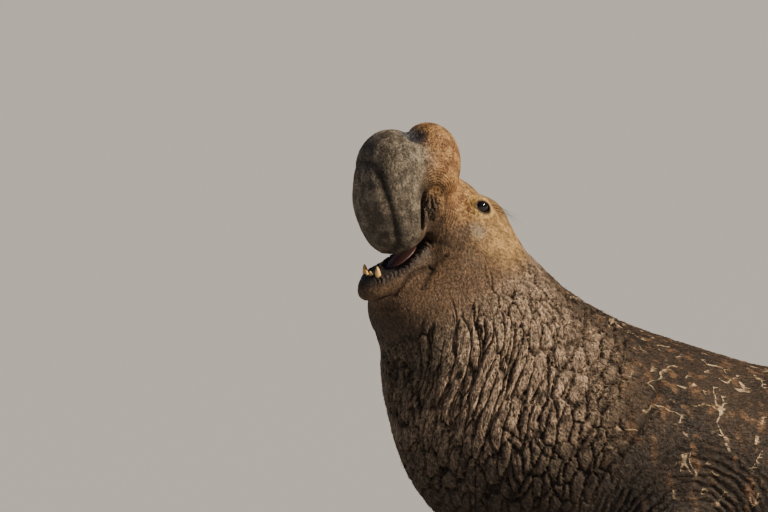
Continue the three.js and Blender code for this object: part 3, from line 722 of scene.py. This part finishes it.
def markings_and_shade(p):
    x, y, z = left_side(p).T
    neck = up_neck(x, z)
    golden = np.maximum(zone(p, *EYE_GOLD), 0.85 * zone(p, *CHEEK_GOLD))
    orange = np.maximum(zone(p, *BRIDGE), 0.9 * zone(p, *NOSE_ROOT))
    olive = step(0.085, -0.03, x + 0.02 * np.sin(31 * z + 17 * x)) * step(1.33, 1.40, z)
    grey = zone(p, *CHEEK_GREY)
    shield = step(0.66, 0.52, neck) * step(-0.30, 0.10, neck) * step(0.22, -0.04, behind_shield(x, z))
    shield *= 1 - step(0.40, 0.55, x) * step(-0.32, -0.16, y) * 0.9
    dark = step(0.55, 0.85, x) * 0.9
    dark = np.maximum(dark, step(0.50, 0.62, x) * step(0.95, 1.15, z) * 0.8)
    # Darker low on the chest, on the chest front and under the jaw: partly the hide's own darker tone, partly
    # painted shade where these faces turn from the light. The armpit and lower-lobe zones are painted shade
    # only.
    dark_hide_and_painted_shade = np.maximum(step(0.84, 0.56, z) * step(1.15, 0.80, x) * 0.95, step(0.70, 0.25, z) * 0.75)
    dark_hide_and_painted_shade = np.maximum(dark_hide_and_painted_shade, step(0.13, -0.03, x) * step(1.26, 1.08, z) * 0.92)
    dark_hide_and_painted_shade = np.maximum(dark_hide_and_painted_shade, 0.95 * zone(p, *ARMPIT_SHADOW))
    dark_hide_and_painted_shade = np.maximum(dark_hide_and_painted_shade, 0.60 * zone(p, *LOW_LOBE_SHADE))
    lids_and_shade, rim = round_eye(x, y, z)
    dark_lips_and_lid_shade = np.maximum(groove(x, z, DARK_LIPS, DARK_LIPS_WIDTH) * step(0.10, 0.04, x), lids_and_shade)
    return (np.stack([golden, orange, olive], 1), np.stack([grey, shield, dark], 1),
            np.stack([dark_lips_and_lid_shade, rim, dark_hide_and_painted_shade], 1), zone(p, *NOSTRIL_HOLLOW_SHADE))


zones_face, zones_body, zones_small, nostril = markings_and_shade(spot)
print("share of the skin that is golden:", round(float((zones_face[:, 0] > 0.5).mean()), 3))

# %% [markdown]
# ## Finishes
# Finishes are written as sums and products of surface patterns. A small class lets those be written as plain
# Python expressions, and each expression adds its nodes. Patterns are placed by the numbers kept at each
# point, never by the camera, so they stay put from every side.


# %% Pattern maths
class Wire:
    def __init__(self, socket):
        self.socket = socket

    def node(self, kind, settings=None, inputs=None, out=0):
        made = self.socket.id_data.nodes.new(kind)
        for key, value in (settings or {}).items():
            if key == "stops":
                while len(made.color_ramp.elements) < len(value):
                    made.color_ramp.elements.new(0.5)
                for stop, (position, colour) in zip(made.color_ramp.elements, value):
                    stop.position, stop.color = position, colour
            else:
                setattr(made, key, value)
        for key, value in (inputs or {}).items():
            if isinstance(value, Wire):
                self.socket.id_data.links.new(value.socket, made.inputs[key])
            else:
                made.inputs[key].default_value = value
        return Wire(made.outputs[out])

    def maths(self, operation, *others):
        return self.node("ShaderNodeMath", {"operation": operation}, dict(enumerate((self, *others))))

    def __add__(self, other):
        return self.maths("ADD", other)

    def __sub__(self, other):
        return self.maths("SUBTRACT", other)

    def __rsub__(self, other):
        return self.node("ShaderNodeMath", {"operation": "SUBTRACT"}, {0: other, 1: self})

    def __mul__(self, other):
        return self.maths("MULTIPLY", other)

    __radd__ = __add__
    __rmul__ = __mul__

    def between(self, low, high):
        return self.node("ShaderNodeMapRange", {"interpolation_type": "SMOOTHSTEP"},
                         {0: self, 1: low, 2: high})

    def mix(self, first, second):
        return self.node("ShaderNodeMix", {"data_type": "RGBA"}, {0: self, 6: first, 7: second}, 2)

    def kept(self, name, out):
        return self.node("ShaderNodeAttribute", {"attribute_name": name}, {}, out)

    def noise(self, place, scale, detail=3.0, out=0):
        return self.node("ShaderNodeTexNoise", {}, {"Vector": place, "Scale": scale, "Detail": detail}, out)

    def cells(self, place, scale, feature="F1"):
        return self.node("ShaderNodeTexVoronoi", {"feature": feature}, {"Vector": place, "Scale": scale})

    def parts(self):
        return [self.node("ShaderNodeSeparateXYZ", {}, {0: self}, i) for i in range(3)]

    def stretched(self, scale):
        return self.node("ShaderNodeVectorMath", {"operation": "MULTIPLY"}, {0: self, 1: scale})


def new_finish(name, roughness, **constants):
    material = bpy.data.materials.new(name)
    material.use_nodes = True
    shader = material.node_tree.nodes["Principled BSDF"]
    shader.inputs["Roughness"].default_value = roughness
    for key, value in constants.items():
        shader.inputs[key.replace("_", " ")].default_value = value
    return material, shader, Wire(shader.outputs[0])


def wear(shader, colour=None, roughness=None, height=None, depth=0.002, strength=1.0):
    tree = shader.id_data
    if colour:
        tree.links.new(colour.socket, shader.inputs["Base Color"])
    if roughness:
        tree.links.new(roughness.socket, shader.inputs["Roughness"])
    if height:
        bump = height.node("ShaderNodeBump", {}, {"Height": height, "Distance": depth, "Strength": strength})
        tree.links.new(bump.socket, shader.inputs["Normal"])

# %% [markdown]
# The hide's colour starts from a brown that is clouded at three sizes: hand-wide patches, finger-wide
# mottling and the grain of the short hair. The zones are laid over it, painted shade among them, then black
# pits at the hair roots on the nose, pale healed scratches on the back, and painted shade in the cracks,
# creases and ring grooves. The same patterns also move the light with a shallow bump, and damp skin on the
# nose is a little smoother than the dry neck.

# %% Tones of the hide, most of them as a darker and a paler end
BROWN = (0.070, 0.043, 0.025, 1), (0.125, 0.075, 0.042, 1)
NECK_PINK = (0.230, 0.160, 0.115, 1), (0.520, 0.370, 0.255, 1)
CHOCOLATE = (0.009, 0.006, 0.004, 1), (0.032, 0.020, 0.011, 1)
TAN = (0.310, 0.178, 0.064, 1), (0.560, 0.340, 0.120, 1)
ROSY = (0.235, 0.115, 0.044, 1), (0.450, 0.250, 0.098, 1)
MOSS = (0.095, 0.078, 0.056, 1), (0.245, 0.200, 0.145, 1)
# The next tone is partly the hide's own dark and partly painted shade.
DARK_HIDE_AND_SHADE = (0.006, 0.005, 0.005, 1), (0.026, 0.020, 0.016, 1)
RUST, BLOTCH = (0.240, 0.125, 0.058, 1), (0.250, 0.132, 0.062, 1)
PALE_GREY, LICHEN, SCAR = (0.360, 0.300, 0.225, 1), (0.215, 0.200, 0.125, 1), (0.600, 0.440, 0.270, 1)
# The second tone on the next line is the lips' own black, and on the lids also painted shade.
LID_RIM, LIP_BLACK_AND_LID_SHADE = (0.660, 0.440, 0.160, 1), (0.024, 0.020, 0.020, 1)
# The first tone on the next line is painted shade in the hollow by the nostril.
NOSTRIL_SHADE_BLUE, PIT_BLACK = (0.035, 0.042, 0.060, 1), (0.022, 0.015, 0.011, 1)
# Both tones on the next line are painted shade, in the cracks and creases and in the troughs between the
# rings.
CRACK_SHADE_BLACK, RING_GROOVE_SHADE = (0.016, 0.011, 0.009, 1), (0.040, 0.026, 0.017, 1)
print("neck from", NECK_PINK[0][:3], "to", NECK_PINK[1][:3])


# %% Scars
# A scar follows the level lines of a drawn-out noise, bent by a second noise. Those of one set lie along the
# body and those of the other stand up.
SCARS_ALONG = (4.0, 6.0, 13.0), 0.014, 11.0, 0.52  # stretch, width, size of the patches, how rare
SCARS_UPRIGHT = (12.0, 6.0, 5.0), 0.016, 13.0, 0.54


def scars(wire, spot_at):
    bent = wire.node("ShaderNodeVectorMath", {"operation": "MULTIPLY_ADD"},
                     {0: wire.noise(spot_at, 6.0, 2.0, 1), 1: (0.12, 0.12, 0.12), 2: spot_at})
    marks = []
    for stretch, width, scale, low in (SCARS_ALONG, SCARS_UPRIGHT):
        off_line = (wire.noise(bent.stretched(stretch), 1.0, 1.0) - 0.5).maths("ABSOLUTE")
        here = wire.noise(spot_at, scale, 2.0).between(low, low + 0.05)
        marks.append((1 - off_line.between(0.004, width)) * here)
    return marks[0] + marks[1]


# %% Hide
def hide_finish(name, coat):
    material, shader, wire = new_finish(name, 0.62, Specular_IOR_Level=0.30)
    spot_at = wire.kept("spot", 1)
    golden, orange, olive = wire.kept("zones_face", 1).parts()
    grey, shield_zone, dark = wire.kept("zones_body", 1).parts()
    dark_lips_and_lid_shade, rim, dark_hide_and_painted_shade = wire.kept("zones_small", 1).parts()
    phase, ring, painted_crack_shade = wire.kept("creases", 1).parts()
    nostril = wire.kept("nostril", 2)
    clouds = wire.noise(spot_at, 4.2, 4.0)
    mottle = wire.noise(spot_at, 26.0, 4.0)
    speckle = wire.noise(spot_at, 105.0)
    grain = wire.noise(spot_at, 260.0, 2.0)
    streaks = wire.noise(spot_at.stretched((60.0, 190.0, 45.0)), 1.0, 2.0)
    bare_dark = dark * (1 - shield_zone * 0.6)

    colour = clouds.between(0.35, 0.65).mix(*BROWN)
    rust = wire.noise(spot_at, 38.0, 4.0).between(0.50, 0.66) * (dark * 0.5 + 0.25)
    colour = rust.mix(colour, RUST)
    colour = (shield_zone * 0.88).mix(colour, mottle.between(0.35, 0.65).mix(*NECK_PINK))
    colour = (bare_dark * 0.92).mix(colour, clouds.between(0.30, 0.75).mix(*CHOCOLATE))
    blotch = wire.noise(spot_at.stretched((26.0, 26.0, 9.0)), 1.0, 4.0).between(0.53, 0.66) * bare_dark
    colour = (blotch * 0.55).mix(colour, BLOTCH)
    colour = (golden * 0.9).mix(colour, mottle.between(0.40, 0.62).mix(*TAN))
    colour = (orange * 0.9).mix(colour, mottle.between(0.38, 0.66).mix(*ROSY))
    colour = (olive * 0.93).mix(colour, mottle.between(0.40, 0.64).mix(*MOSS))
    colour = (grey * 0.5).mix(colour, PALE_GREY)
    # Painted shade under and in front of the chest, in the armpit and on the lower nose, partly also the
    # hide's own darker tone.
    colour = (dark_hide_and_painted_shade * 0.78).mix(colour, clouds.mix(*DARK_HIDE_AND_SHADE))
    colour = (rim * 0.75).mix(colour, LID_RIM)
    # Dark lips, and dark lids that are partly painted shade.
    colour = (dark_lips_and_lid_shade * 0.88).mix(colour, LIP_BLACK_AND_LID_SHADE)
    # Painted shade in the hollow by the nostril.
    colour = (nostril * 0.85).mix(colour, NOSTRIL_SHADE_BLUE)

    pit = (1 - wire.cells(spot_at, 145.0).between(0.16, 0.32)) * (orange + olive * 0.55 + golden * 0.25)
    colour = (pit * 0.85).mix(colour, PIT_BLACK)
    lichen = wire.noise(spot_at, 90.0).between(0.52, 0.68) * shield_zone * 0.5
    colour = lichen.mix(colour, LICHEN)
    scratch = scars(wire, spot_at) * (1 - shield_zone * 0.7) * (1 - dark_hide_and_painted_shade) * dark
    colour = (scratch * 0.9).mix(colour, SCAR)
    # Painted shade in the cracks, creases and troughs.
    colour = (painted_crack_shade * 0.90).mix(colour, CRACK_SHADE_BLACK)
    phase = phase + (mottle - 0.5) * 0.5
    wave = (phase * math.tau).maths("SINE").between(-0.9, 0.3) * ring
    # Painted shade in the troughs between the rings.
    colour = ((ring - wave) * 0.55).mix(colour, RING_GROOVE_SHADE)
    fleck = (streaks - 0.5) + (grain - 0.5) + (speckle - 0.5) * (shield_zone * 2.4 + 2.4)
    colour = wire.node("ShaderNodeVectorMath", {"operation": "SCALE"}, {0: colour, "Scale": fleck + 1.0})
    if coat:
        wear(shader, colour, mottle * 0.2 + 0.55)
        return material

    leather = wire.cells(spot_at, 95.0, "DISTANCE_TO_EDGE").between(0.0, 0.14)
    fine_cracks = wire.cells(spot_at.stretched((60.0, 60.0, 26.0)), 1.0, "DISTANCE_TO_EDGE")
    height = grain * 0.30 + streaks * 0.40 + mottle * 0.45 + speckle * (shield_zone * 1.6 + 0.9)
    height = height + wave * 0.55 + leather * 0.30 * (shield_zone + 0.25)
    height = height + fine_cracks.between(0.0, 0.10) * 0.6 * shield_zone - pit * 0.5 + scratch * 0.4
    wear(shader, colour, 0.66 - mottle * 0.16 + painted_crack_shade * 0.2 - olive * 0.06, height, 0.0060)
    return material


hide = hide_finish("hide", False)
coat_finish = hide_finish("coat", True)
print("finishes:", [m.name for m in bpy.data.materials])

# %% [markdown]
# ## The skin
# One skin stands for every piece of flesh in the solid model. It lies the coat's depth inside them, so that
# the hair over it ends at the animal's true outline.

# %% Skin piece
FLESH = ["head", "proboscis_tip", "proboscis_base", "lower_jaw", "neck", "chest", "trunk", "hindquarters",
         "tail", "fore_flipper_left", "fore_flipper_right", "hind_flipper_left", "hind_flipper_right"]
skin = big_piece("skin", turned(points), quads, hide)
for name, values in (("spot", spot), ("zones_face", zones_face), ("zones_body", zones_body),
                     ("zones_small", zones_small), ("nostril", nostril), ("creases", creases)):
    carry(skin, name, values)
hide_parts(*FLESH)
print("skin replaces", len(FLESH), "pieces of flesh")

# %% [markdown]
# ## Eyes
# The eye is large, round and almost black, and it is wet. A ball whose front is raised a little, with a wet
# coat in its finish, gives the small hard highlight. The brown iris hardly shows, so it is a faint ring in
# the finish.


# %% Eyeballs
def lathe(profile, sides):
    rings = np.array(profile, float)
    a = np.linspace(0, 2 * np.pi, sides, endpoint=False)
    body = np.concatenate([np.stack([r * np.cos(a), r * np.sin(a), np.full(sides, h)], 1)
                           for r, h in rings[1:-1]])
    verts = np.vstack([[0, 0, rings[0][1]], body, [0, 0, rings[-1][1]]])
    faces = []
    last = len(verts) - 1
    for i in range(sides):
        j = (i + 1) % sides
        faces.append((0, 1 + j, 1 + i, 1 + i))
        for k in range(len(rings) - 3):
            a0, b0 = 1 + k * sides, 1 + (k + 1) * sides
            faces.append((a0 + i, a0 + j, b0 + j, b0 + i))
        end = 1 + (len(rings) - 3) * sides
        faces.append((end + i, end + j, last, last))
    return verts, faces


def lathed_piece(name, profile, sides, place, direction, material, mirror, bend=0.0):
    verts, faces = lathe(profile, sides)
    verts[:, 0] += bend * verts[:, 2] ** 2
    turn = Vector((0, 0, 1)).rotation_difference(Vector(direction).normalized()).to_matrix()
    verts = verts @ np.array(turn).T + np.array(place)
    if mirror:
        verts[:, 1] *= -1
        faces = [f[::-1] for f in faces]
    return small_piece(name, verts, faces, material, left_side(verts))


LOOK = (0.10, -0.97, 0.16)
PUPIL_AHEAD, EYE_STEPS, EYE_SIDES = 0.029, 24, 40
BULGE, BULGE_WIDTH = 0.03, 0.45
eye_finish, shader, wire = new_finish("eye", 0.06, Coat_Weight=0.6, IOR=1.4)
pupil = tuple(EYE + PUPIL_AHEAD * np.array(LOOK))
off = wire.node("ShaderNodeVectorMath", {"operation": "DISTANCE"}, {0: wire.kept("spot", 1), 1: pupil}, 1)
iris = off.between(0.010, 0.013) * (1 - off.between(0.017, 0.020))
wear(shader, iris.mix((0.004, 0.003, 0.003, 1), (0.010, 0.006, 0.004, 1)))
profile = [(0, -EYE_RADIUS)]
for k in range(1, EYE_STEPS):
    a = math.pi * k / EYE_STEPS
    reach = EYE_RADIUS * (1 + BULGE * math.exp(-(((math.pi - a) / BULGE_WIDTH) ** 2)))
    profile.append((reach * math.sin(a), -reach * math.cos(a)))
profile.append((0, EYE_RADIUS * (1 + BULGE)))
SIDES = (("left", False), ("right", True))
for side, mirror in SIDES:
    eye = lathed_piece(f"eyeball_{side}", profile, EYE_SIDES, EYE, LOOK, eye_finish, mirror)
    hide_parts(f"eye_{side}")
print("eyes placed at", [round(v, 3) for v in turned(EYE)[0]])

# %% [markdown]
# ## Teeth and tongue
# The lower canines are short, blunt and stained orange yellow, with the small incisors between them. They are
# turned shapes, the canines with a slight bend. The tongue lies low in the dark mouth.

# %% Teeth: radius and height of each ring
CANINE = [(0, -0.022), (0.0095, -0.021), (0.0112, 0.0), (0.0108, 0.010), (0.0092, 0.021), (0.0066, 0.031),
          (0.0034, 0.038), (0, 0.041)]
INCISOR = [(0, -0.012), (0.0052, -0.011), (0.0060, 0.0), (0.0052, 0.009), (0.0030, 0.016), (0, 0.019)]
TEETH = [  # name, rings, sides, foot, direction, bend
    ("canine", CANINE, 18, (-0.137, -0.045, 1.302), (-0.25, 0, 0.97), 2.0),
    ("incisor", INCISOR, 14, (-0.150, -0.014, 1.306), (-0.35, 0, 0.94), 0.0),
]
tooth_finish, shader, wire = new_finish("tooth", 0.32, Coat_Weight=0.2)
stain = wire.noise(wire.kept("spot", 1), 120.0)
enamel = stain.between(0.35, 0.65).mix((0.62, 0.33, 0.075, 1), (0.80, 0.52, 0.19, 1))
wear(shader, enamel, height=stain, depth=0.0008)
for side, mirror in SIDES:
    for kind, rows, sides, foot, direction, bend in TEETH:
        tooth = lathed_piece(f"{kind}_tooth_{side}", rows, sides, foot, direction, tooth_finish,
                             mirror, bend)
        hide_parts(f"{kind}_{side}")
print("teeth:", len(SIDES) * len(TEETH))

# %% Tongue
TONGUE_SIZE, TONGUE_AT, TONGUE_TILT = (0.070, 0.046, 0.011), (-0.008, 0, 1.366), math.radians(35)
FURROW_DEPTH, FURROW_WIDTH = 0.004, 0.008
tongue_finish, shader, wire = new_finish("tongue", 0.4)
buds = wire.cells(wire.kept("spot", 1), 260.0)
# The tongue's pink is darkened, partly as painted shade of the mouth.
tongue_tone_and_shade = buds.between(0.1, 0.6).mix((0.10, 0.042, 0.036, 1), (0.05, 0.022, 0.020, 1))
wear(shader, tongue_tone_and_shade, height=buds, depth=0.001)
half_turns = [math.pi * k / 16 for k in range(1, 16)]
verts, faces = lathe([(0, -1)] + [(math.sin(a), -math.cos(a)) for a in half_turns] + [(0, 1)], 28)
verts = verts[:, [2, 1, 0]] * TONGUE_SIZE
verts[:, 2] -= FURROW_DEPTH * np.exp(-((verts[:, 1] / FURROW_WIDTH) ** 2))
c, s = math.cos(TONGUE_TILT), math.sin(TONGUE_TILT)
verts = np.stack([c * verts[:, 0] - s * verts[:, 2], verts[:, 1], s * verts[:, 0] + c * verts[:, 2]], 1)
verts += TONGUE_AT
tongue = small_piece("tongue_flesh", verts, faces, tongue_finish, verts)
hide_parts("tongue")
print("tongue:", len(verts), "points")

# %% [markdown]
# ## Claws
# Each of the five fingers of a fore flipper ends in a strong dark claw that grows from the top of its tip.

# %% Claw pieces
CLAW = [(0, -0.012), (0.0076, -0.011), (0.0084, 0.0), (0.0080, 0.012), (0.0066, 0.024), (0.0044, 0.035),
        (0.0020, 0.043), (0, 0.045)]
CLAW_AHEAD, CLAW_ABOVE, CLAW_DROP, CLAW_SIDES = 0.010, 0.010, -0.12, 16
claw_finish, shader, wire = new_finish("claw", 0.38)
bands = wire.noise(wire.kept("spot", 1).stretched((40.0, 40.0, 40.0)), 1.0, 4.0)
horn_tone = bands.between(0.35, 0.7).mix((0.018, 0.014, 0.012, 1), (0.085, 0.066, 0.050, 1))
wear(shader, horn_tone, height=bands, depth=0.001)
for i, (root, tip) in enumerate(FINGERS):
    ahead = (tip - root) / np.linalg.norm(tip - root)
    foot = tip + ahead * CLAW_AHEAD + (0, 0, CLAW_ABOVE)
    for side, mirror in SIDES:
        horn = lathed_piece(f"horn_{side}_{i + 1}", CLAW, CLAW_SIDES, foot, (ahead[0], ahead[1], CLAW_DROP),
                            claw_finish, mirror)
        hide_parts(f"claw_{side}_{i + 1}")
print("claws:", len(SIDES) * len(FINGERS))

# %% [markdown]
# ## Coat
# The hair is short, stiff and lies flat, so most of it is in the finish. Thin tufts of real mesh lie over the
# skin, one overlapping the next towards the tail, and they break the outline and catch the light. They are
# smallest on the face and flippers. Each tuft is a closed sliver with four faces, and it takes its markings
# and painted shade from the skin at its root. The pieces of coat are split by place, to keep each one light.

# %% Lie of the coat
FACE_LIE = np.array((0.62, 0, -0.78))
FLIPPER_LIE = (0.5, 0.75, -0.4)


def lie(p):
    q = left_side(p)
    d = (q[:, 0, None] - LINE[:, 0]) ** 2 + (q[:, 2, None] - LINE[:, 1]) ** 2
    i = np.clip(d.argmin(1), 1, len(LINE) - 2)
    way = np.stack([LINE[i + 1, 0] - LINE[i - 1, 0], np.zeros(len(p)), LINE[i + 1, 1] - LINE[i - 1, 1]], 1)
    way /= length(way)[:, None]
    face = step(1.15, 1.35, q[:, 2])[:, None]
    way = way * (1 - face) + FACE_LIE * face
    fore = (step(-0.50, -0.62, q[:, 1]) * step(0.6, 0.4, q[:, 2]))[:, None]
    out = np.full((len(p), 3), FLIPPER_LIE)
    out[:, 1] *= np.where(p[:, 1] > 0, 1, -1)
    return way * (1 - fore) + out * fore, i


# %% Where the tufts grow
TUFTS, QUICK_TUFTS = 190000, 60000
FACE_TUFT, BODY_TUFT_MORE, FLIPPER_LESS = 0.006, 0.010, 0.45
MOUTH_LINE, MOUTH_REACH, MOUTH_HALF = [(-0.20, 1.305), (-0.06, 1.345), (0.09, 1.445)], 0.030, 0.085
EYE_CLEAR, FLOOR_CLEAR = 0.036, 0.012
triangles = np.vstack([quads[:, [0, 1, 2]], quads[:, [0, 2, 3]]])
a, b, c = (points[triangles[:, i]] for i in range(3))
area = length(np.cross(b - a, c - a)) / 2
centre = (a + b + c) / 3
inner = left_side(centre)
mouth_in = line_distance(inner[:, 0], inner[:, 2], MOUTH_LINE) < MOUTH_REACH
mouth_in &= inner[:, 1] > -MOUTH_HALF
eye_in = length(inner - (EYE + (0, -0.015, 0))) < EYE_CLEAR
bare = mouth_in | eye_in | (centre[:, 2] < FLOOR_CLEAR)
size = FACE_TUFT + BODY_TUFT_MORE * step(0.62, 0.30, up_neck(inner[:, 0], inner[:, 2]))
size *= 1 - FLIPPER_LESS * step(-0.55, -0.70, inner[:, 1]) * step(0.5, 0.3, inner[:, 2])
weight = np.where(bare, 0, area / size**1.6)
total = TUFTS
picked = rng.choice(len(triangles), total, p=weight / weight.sum())
r = rng.random((total, 2))
r = np.where(r.sum(1)[:, None] > 1, 1 - r, r)
tri = triangles[picked]
share = np.stack([1 - r.sum(1), r[:, 0], r[:, 1]], 1)


def at_root(values):
    v = values[tri]
    return (v * (share[:, :, None] if v.ndim == 3 else share)).sum(1)


print("bare triangles:", int(bare.sum()), "of", len(triangles))

# %% Tufts
STRAY, ROOT_DEPTH, TIP_FLOOR = 0.16, 0.0008, 0.001
root_at = at_root(points)
up = at_root(corner_normals(points, quads))
up /= length(up)[:, None]
way, station = lie(root_at)
way = way + rng.normal(0, STRAY, way.shape)
way -= (way * up).sum(1)[:, None] * up
way /= np.maximum(length(way), 1e-9)[:, None]
side_way = np.cross(up, way)
tuft = (size[picked] * rng.uniform(0.75, 1.3, total))[:, None]
lift = rng.uniform(0.06, 0.20, total)[:, None]
width = tuft * 0.13 + 0.0004
root_low = root_at - up * ROOT_DEPTH
ridge = root_at + way * tuft * 0.35 + up * (tuft * 0.07 + 0.0003)
tip_at = root_at + way * tuft + up * (tuft * lift)
tip_at[:, 2] = np.maximum(tip_at[:, 2], TIP_FLOOR)
corners = (root_low - side_way * width, root_low + side_way * width, tip_at, ridge)
print("tufts:", total)

# %% Coat pieces
# On the unwrap, u runs along the spine and v goes round it. Each tuft is a small patch at its root's place.
PATCH = np.array([(0, 0), (0.003, 0), (0.0015, 0.003), (0.0015, 0.0015)])
PIECES = 5
CRACK_SHADE_SHARE = 0.7  # the hair hides part of the painted shade in a crack
coat_spot = at_root(spot)
coat_face, coat_body, coat_small, coat_nostril_shade = markings_and_shade(coat_spot)
coat_creases = at_root(creases) * (1, 1, CRACK_SHADE_SHARE)
turn_round = np.arctan2(root_at[:, 1], root_at[:, 2] - LINE[station, 1]) / (2 * np.pi)
unwrap = np.stack([ALONG[station] / ALONG[-1], 0.5 + turn_round], 1)
unwrap = 0.01 + 0.97 * np.clip(unwrap, 0, 1)
groups = np.array_split(np.argsort(-up_neck(root_at[:, 0], root_at[:, 2])), PIECES)
for number, chosen in enumerate(groups):
    n = len(chosen)
    verts = np.concatenate([turned(v[chosen]) for v in corners])
    ia, ib, it, ir = (np.arange(n) + n * m for m in range(4))
    faces = np.concatenate([np.stack(f, 1) for f in ((ib, ir, ia), (ir, it, ia), (ib, it, ir), (it, ib, ia))])
    coat = big_piece(f"coat_{number + 1}", verts, faces, coat_finish, smooth=False)
    for name, values in (("spot", coat_spot), ("zones_face", coat_face), ("zones_body", coat_body),
                         ("zones_small", coat_small), ("nostril", coat_nostril_shade), ("creases", coat_creases)):
        carry(coat, name, np.concatenate([values[chosen]] * 4))
    uv = coat.data.uv_layers.new(name="OFBake")
    where = np.concatenate([unwrap[chosen] + PATCH[m] for m in range(4)])
    uv.data.foreach_set("uv", where[faces.ravel()].astype(np.float32).ravel())
print("coat pieces:", len(groups), "with", 4 * total, "faces")

# %% [markdown]
# ## Brow hairs
# A few stiff hairs stand over each eye. They are thin tapering rods with three sides.

# %% Brow hair pieces
HAIRS, HAIR_STEPS = 9, 6
HAIR_THICK, HAIR_SAG = 0.0008, 0.025


def rod(start, direction, reach, thick, sag):
    start, direction = np.array(start), np.array(direction) / np.linalg.norm(direction)
    across = np.cross(direction, (0.3, 0.2, 0.93))
    across /= np.linalg.norm(across)
    third = np.cross(direction, across)
    verts, faces = [], []
    for k in range(HAIR_STEPS + 1):
        t = k / HAIR_STEPS
        middle = start + direction * reach * t + np.array((0, 0, -sag * t * t))
        radius = thick * (1 - 0.9 * t)
        for m in range(3):
            a = 2 * math.pi * m / 3
            verts.append(middle + radius * (across * math.cos(a) + third * math.sin(a)))
    for k in range(HAIR_STEPS):
        for m in range(3):
            a0, a1 = 3 * k + m, 3 * k + (m + 1) % 3
            faces.append((a0, a1, a1 + 3, a0 + 3))
    faces += [(2, 1, 0), (3 * HAIR_STEPS, 3 * HAIR_STEPS + 1, 3 * HAIR_STEPS + 2)]
    return verts, faces


hair_finish, shader, wire = new_finish("brow_hair", 0.4)
tint = wire.noise(wire.kept("spot", 1), 30.0)
wear(shader, tint.between(0.4, 0.6).mix((0.020, 0.014, 0.010, 1), (0.060, 0.040, 0.025, 1)))
all_verts, all_faces = [], []
for k in range(HAIRS):
    column, line = k % 3, k // 3
    start = (0.345 + 0.007 * column, -0.070 - 0.012 * line, 1.545 - 0.010 * line)
    direction = (0.85, -0.25 - 0.12 * line, -0.10 - 0.16 * column)
    verts, faces = rod(start, direction, 0.080 + 0.03 * ((k * 5) % 4) / 3, HAIR_THICK, HAIR_SAG)
    for flip in (1, -1):
        base = len(all_verts)
        all_verts += [v * (1, flip, 1) for v in verts]
        all_faces += [tuple(base + i for i in f[::flip]) for f in faces]
small_piece("brow_hairs", all_verts, all_faces, hair_finish, np.array(all_verts), smooth=False)
print("brow hairs:", 2 * HAIRS)
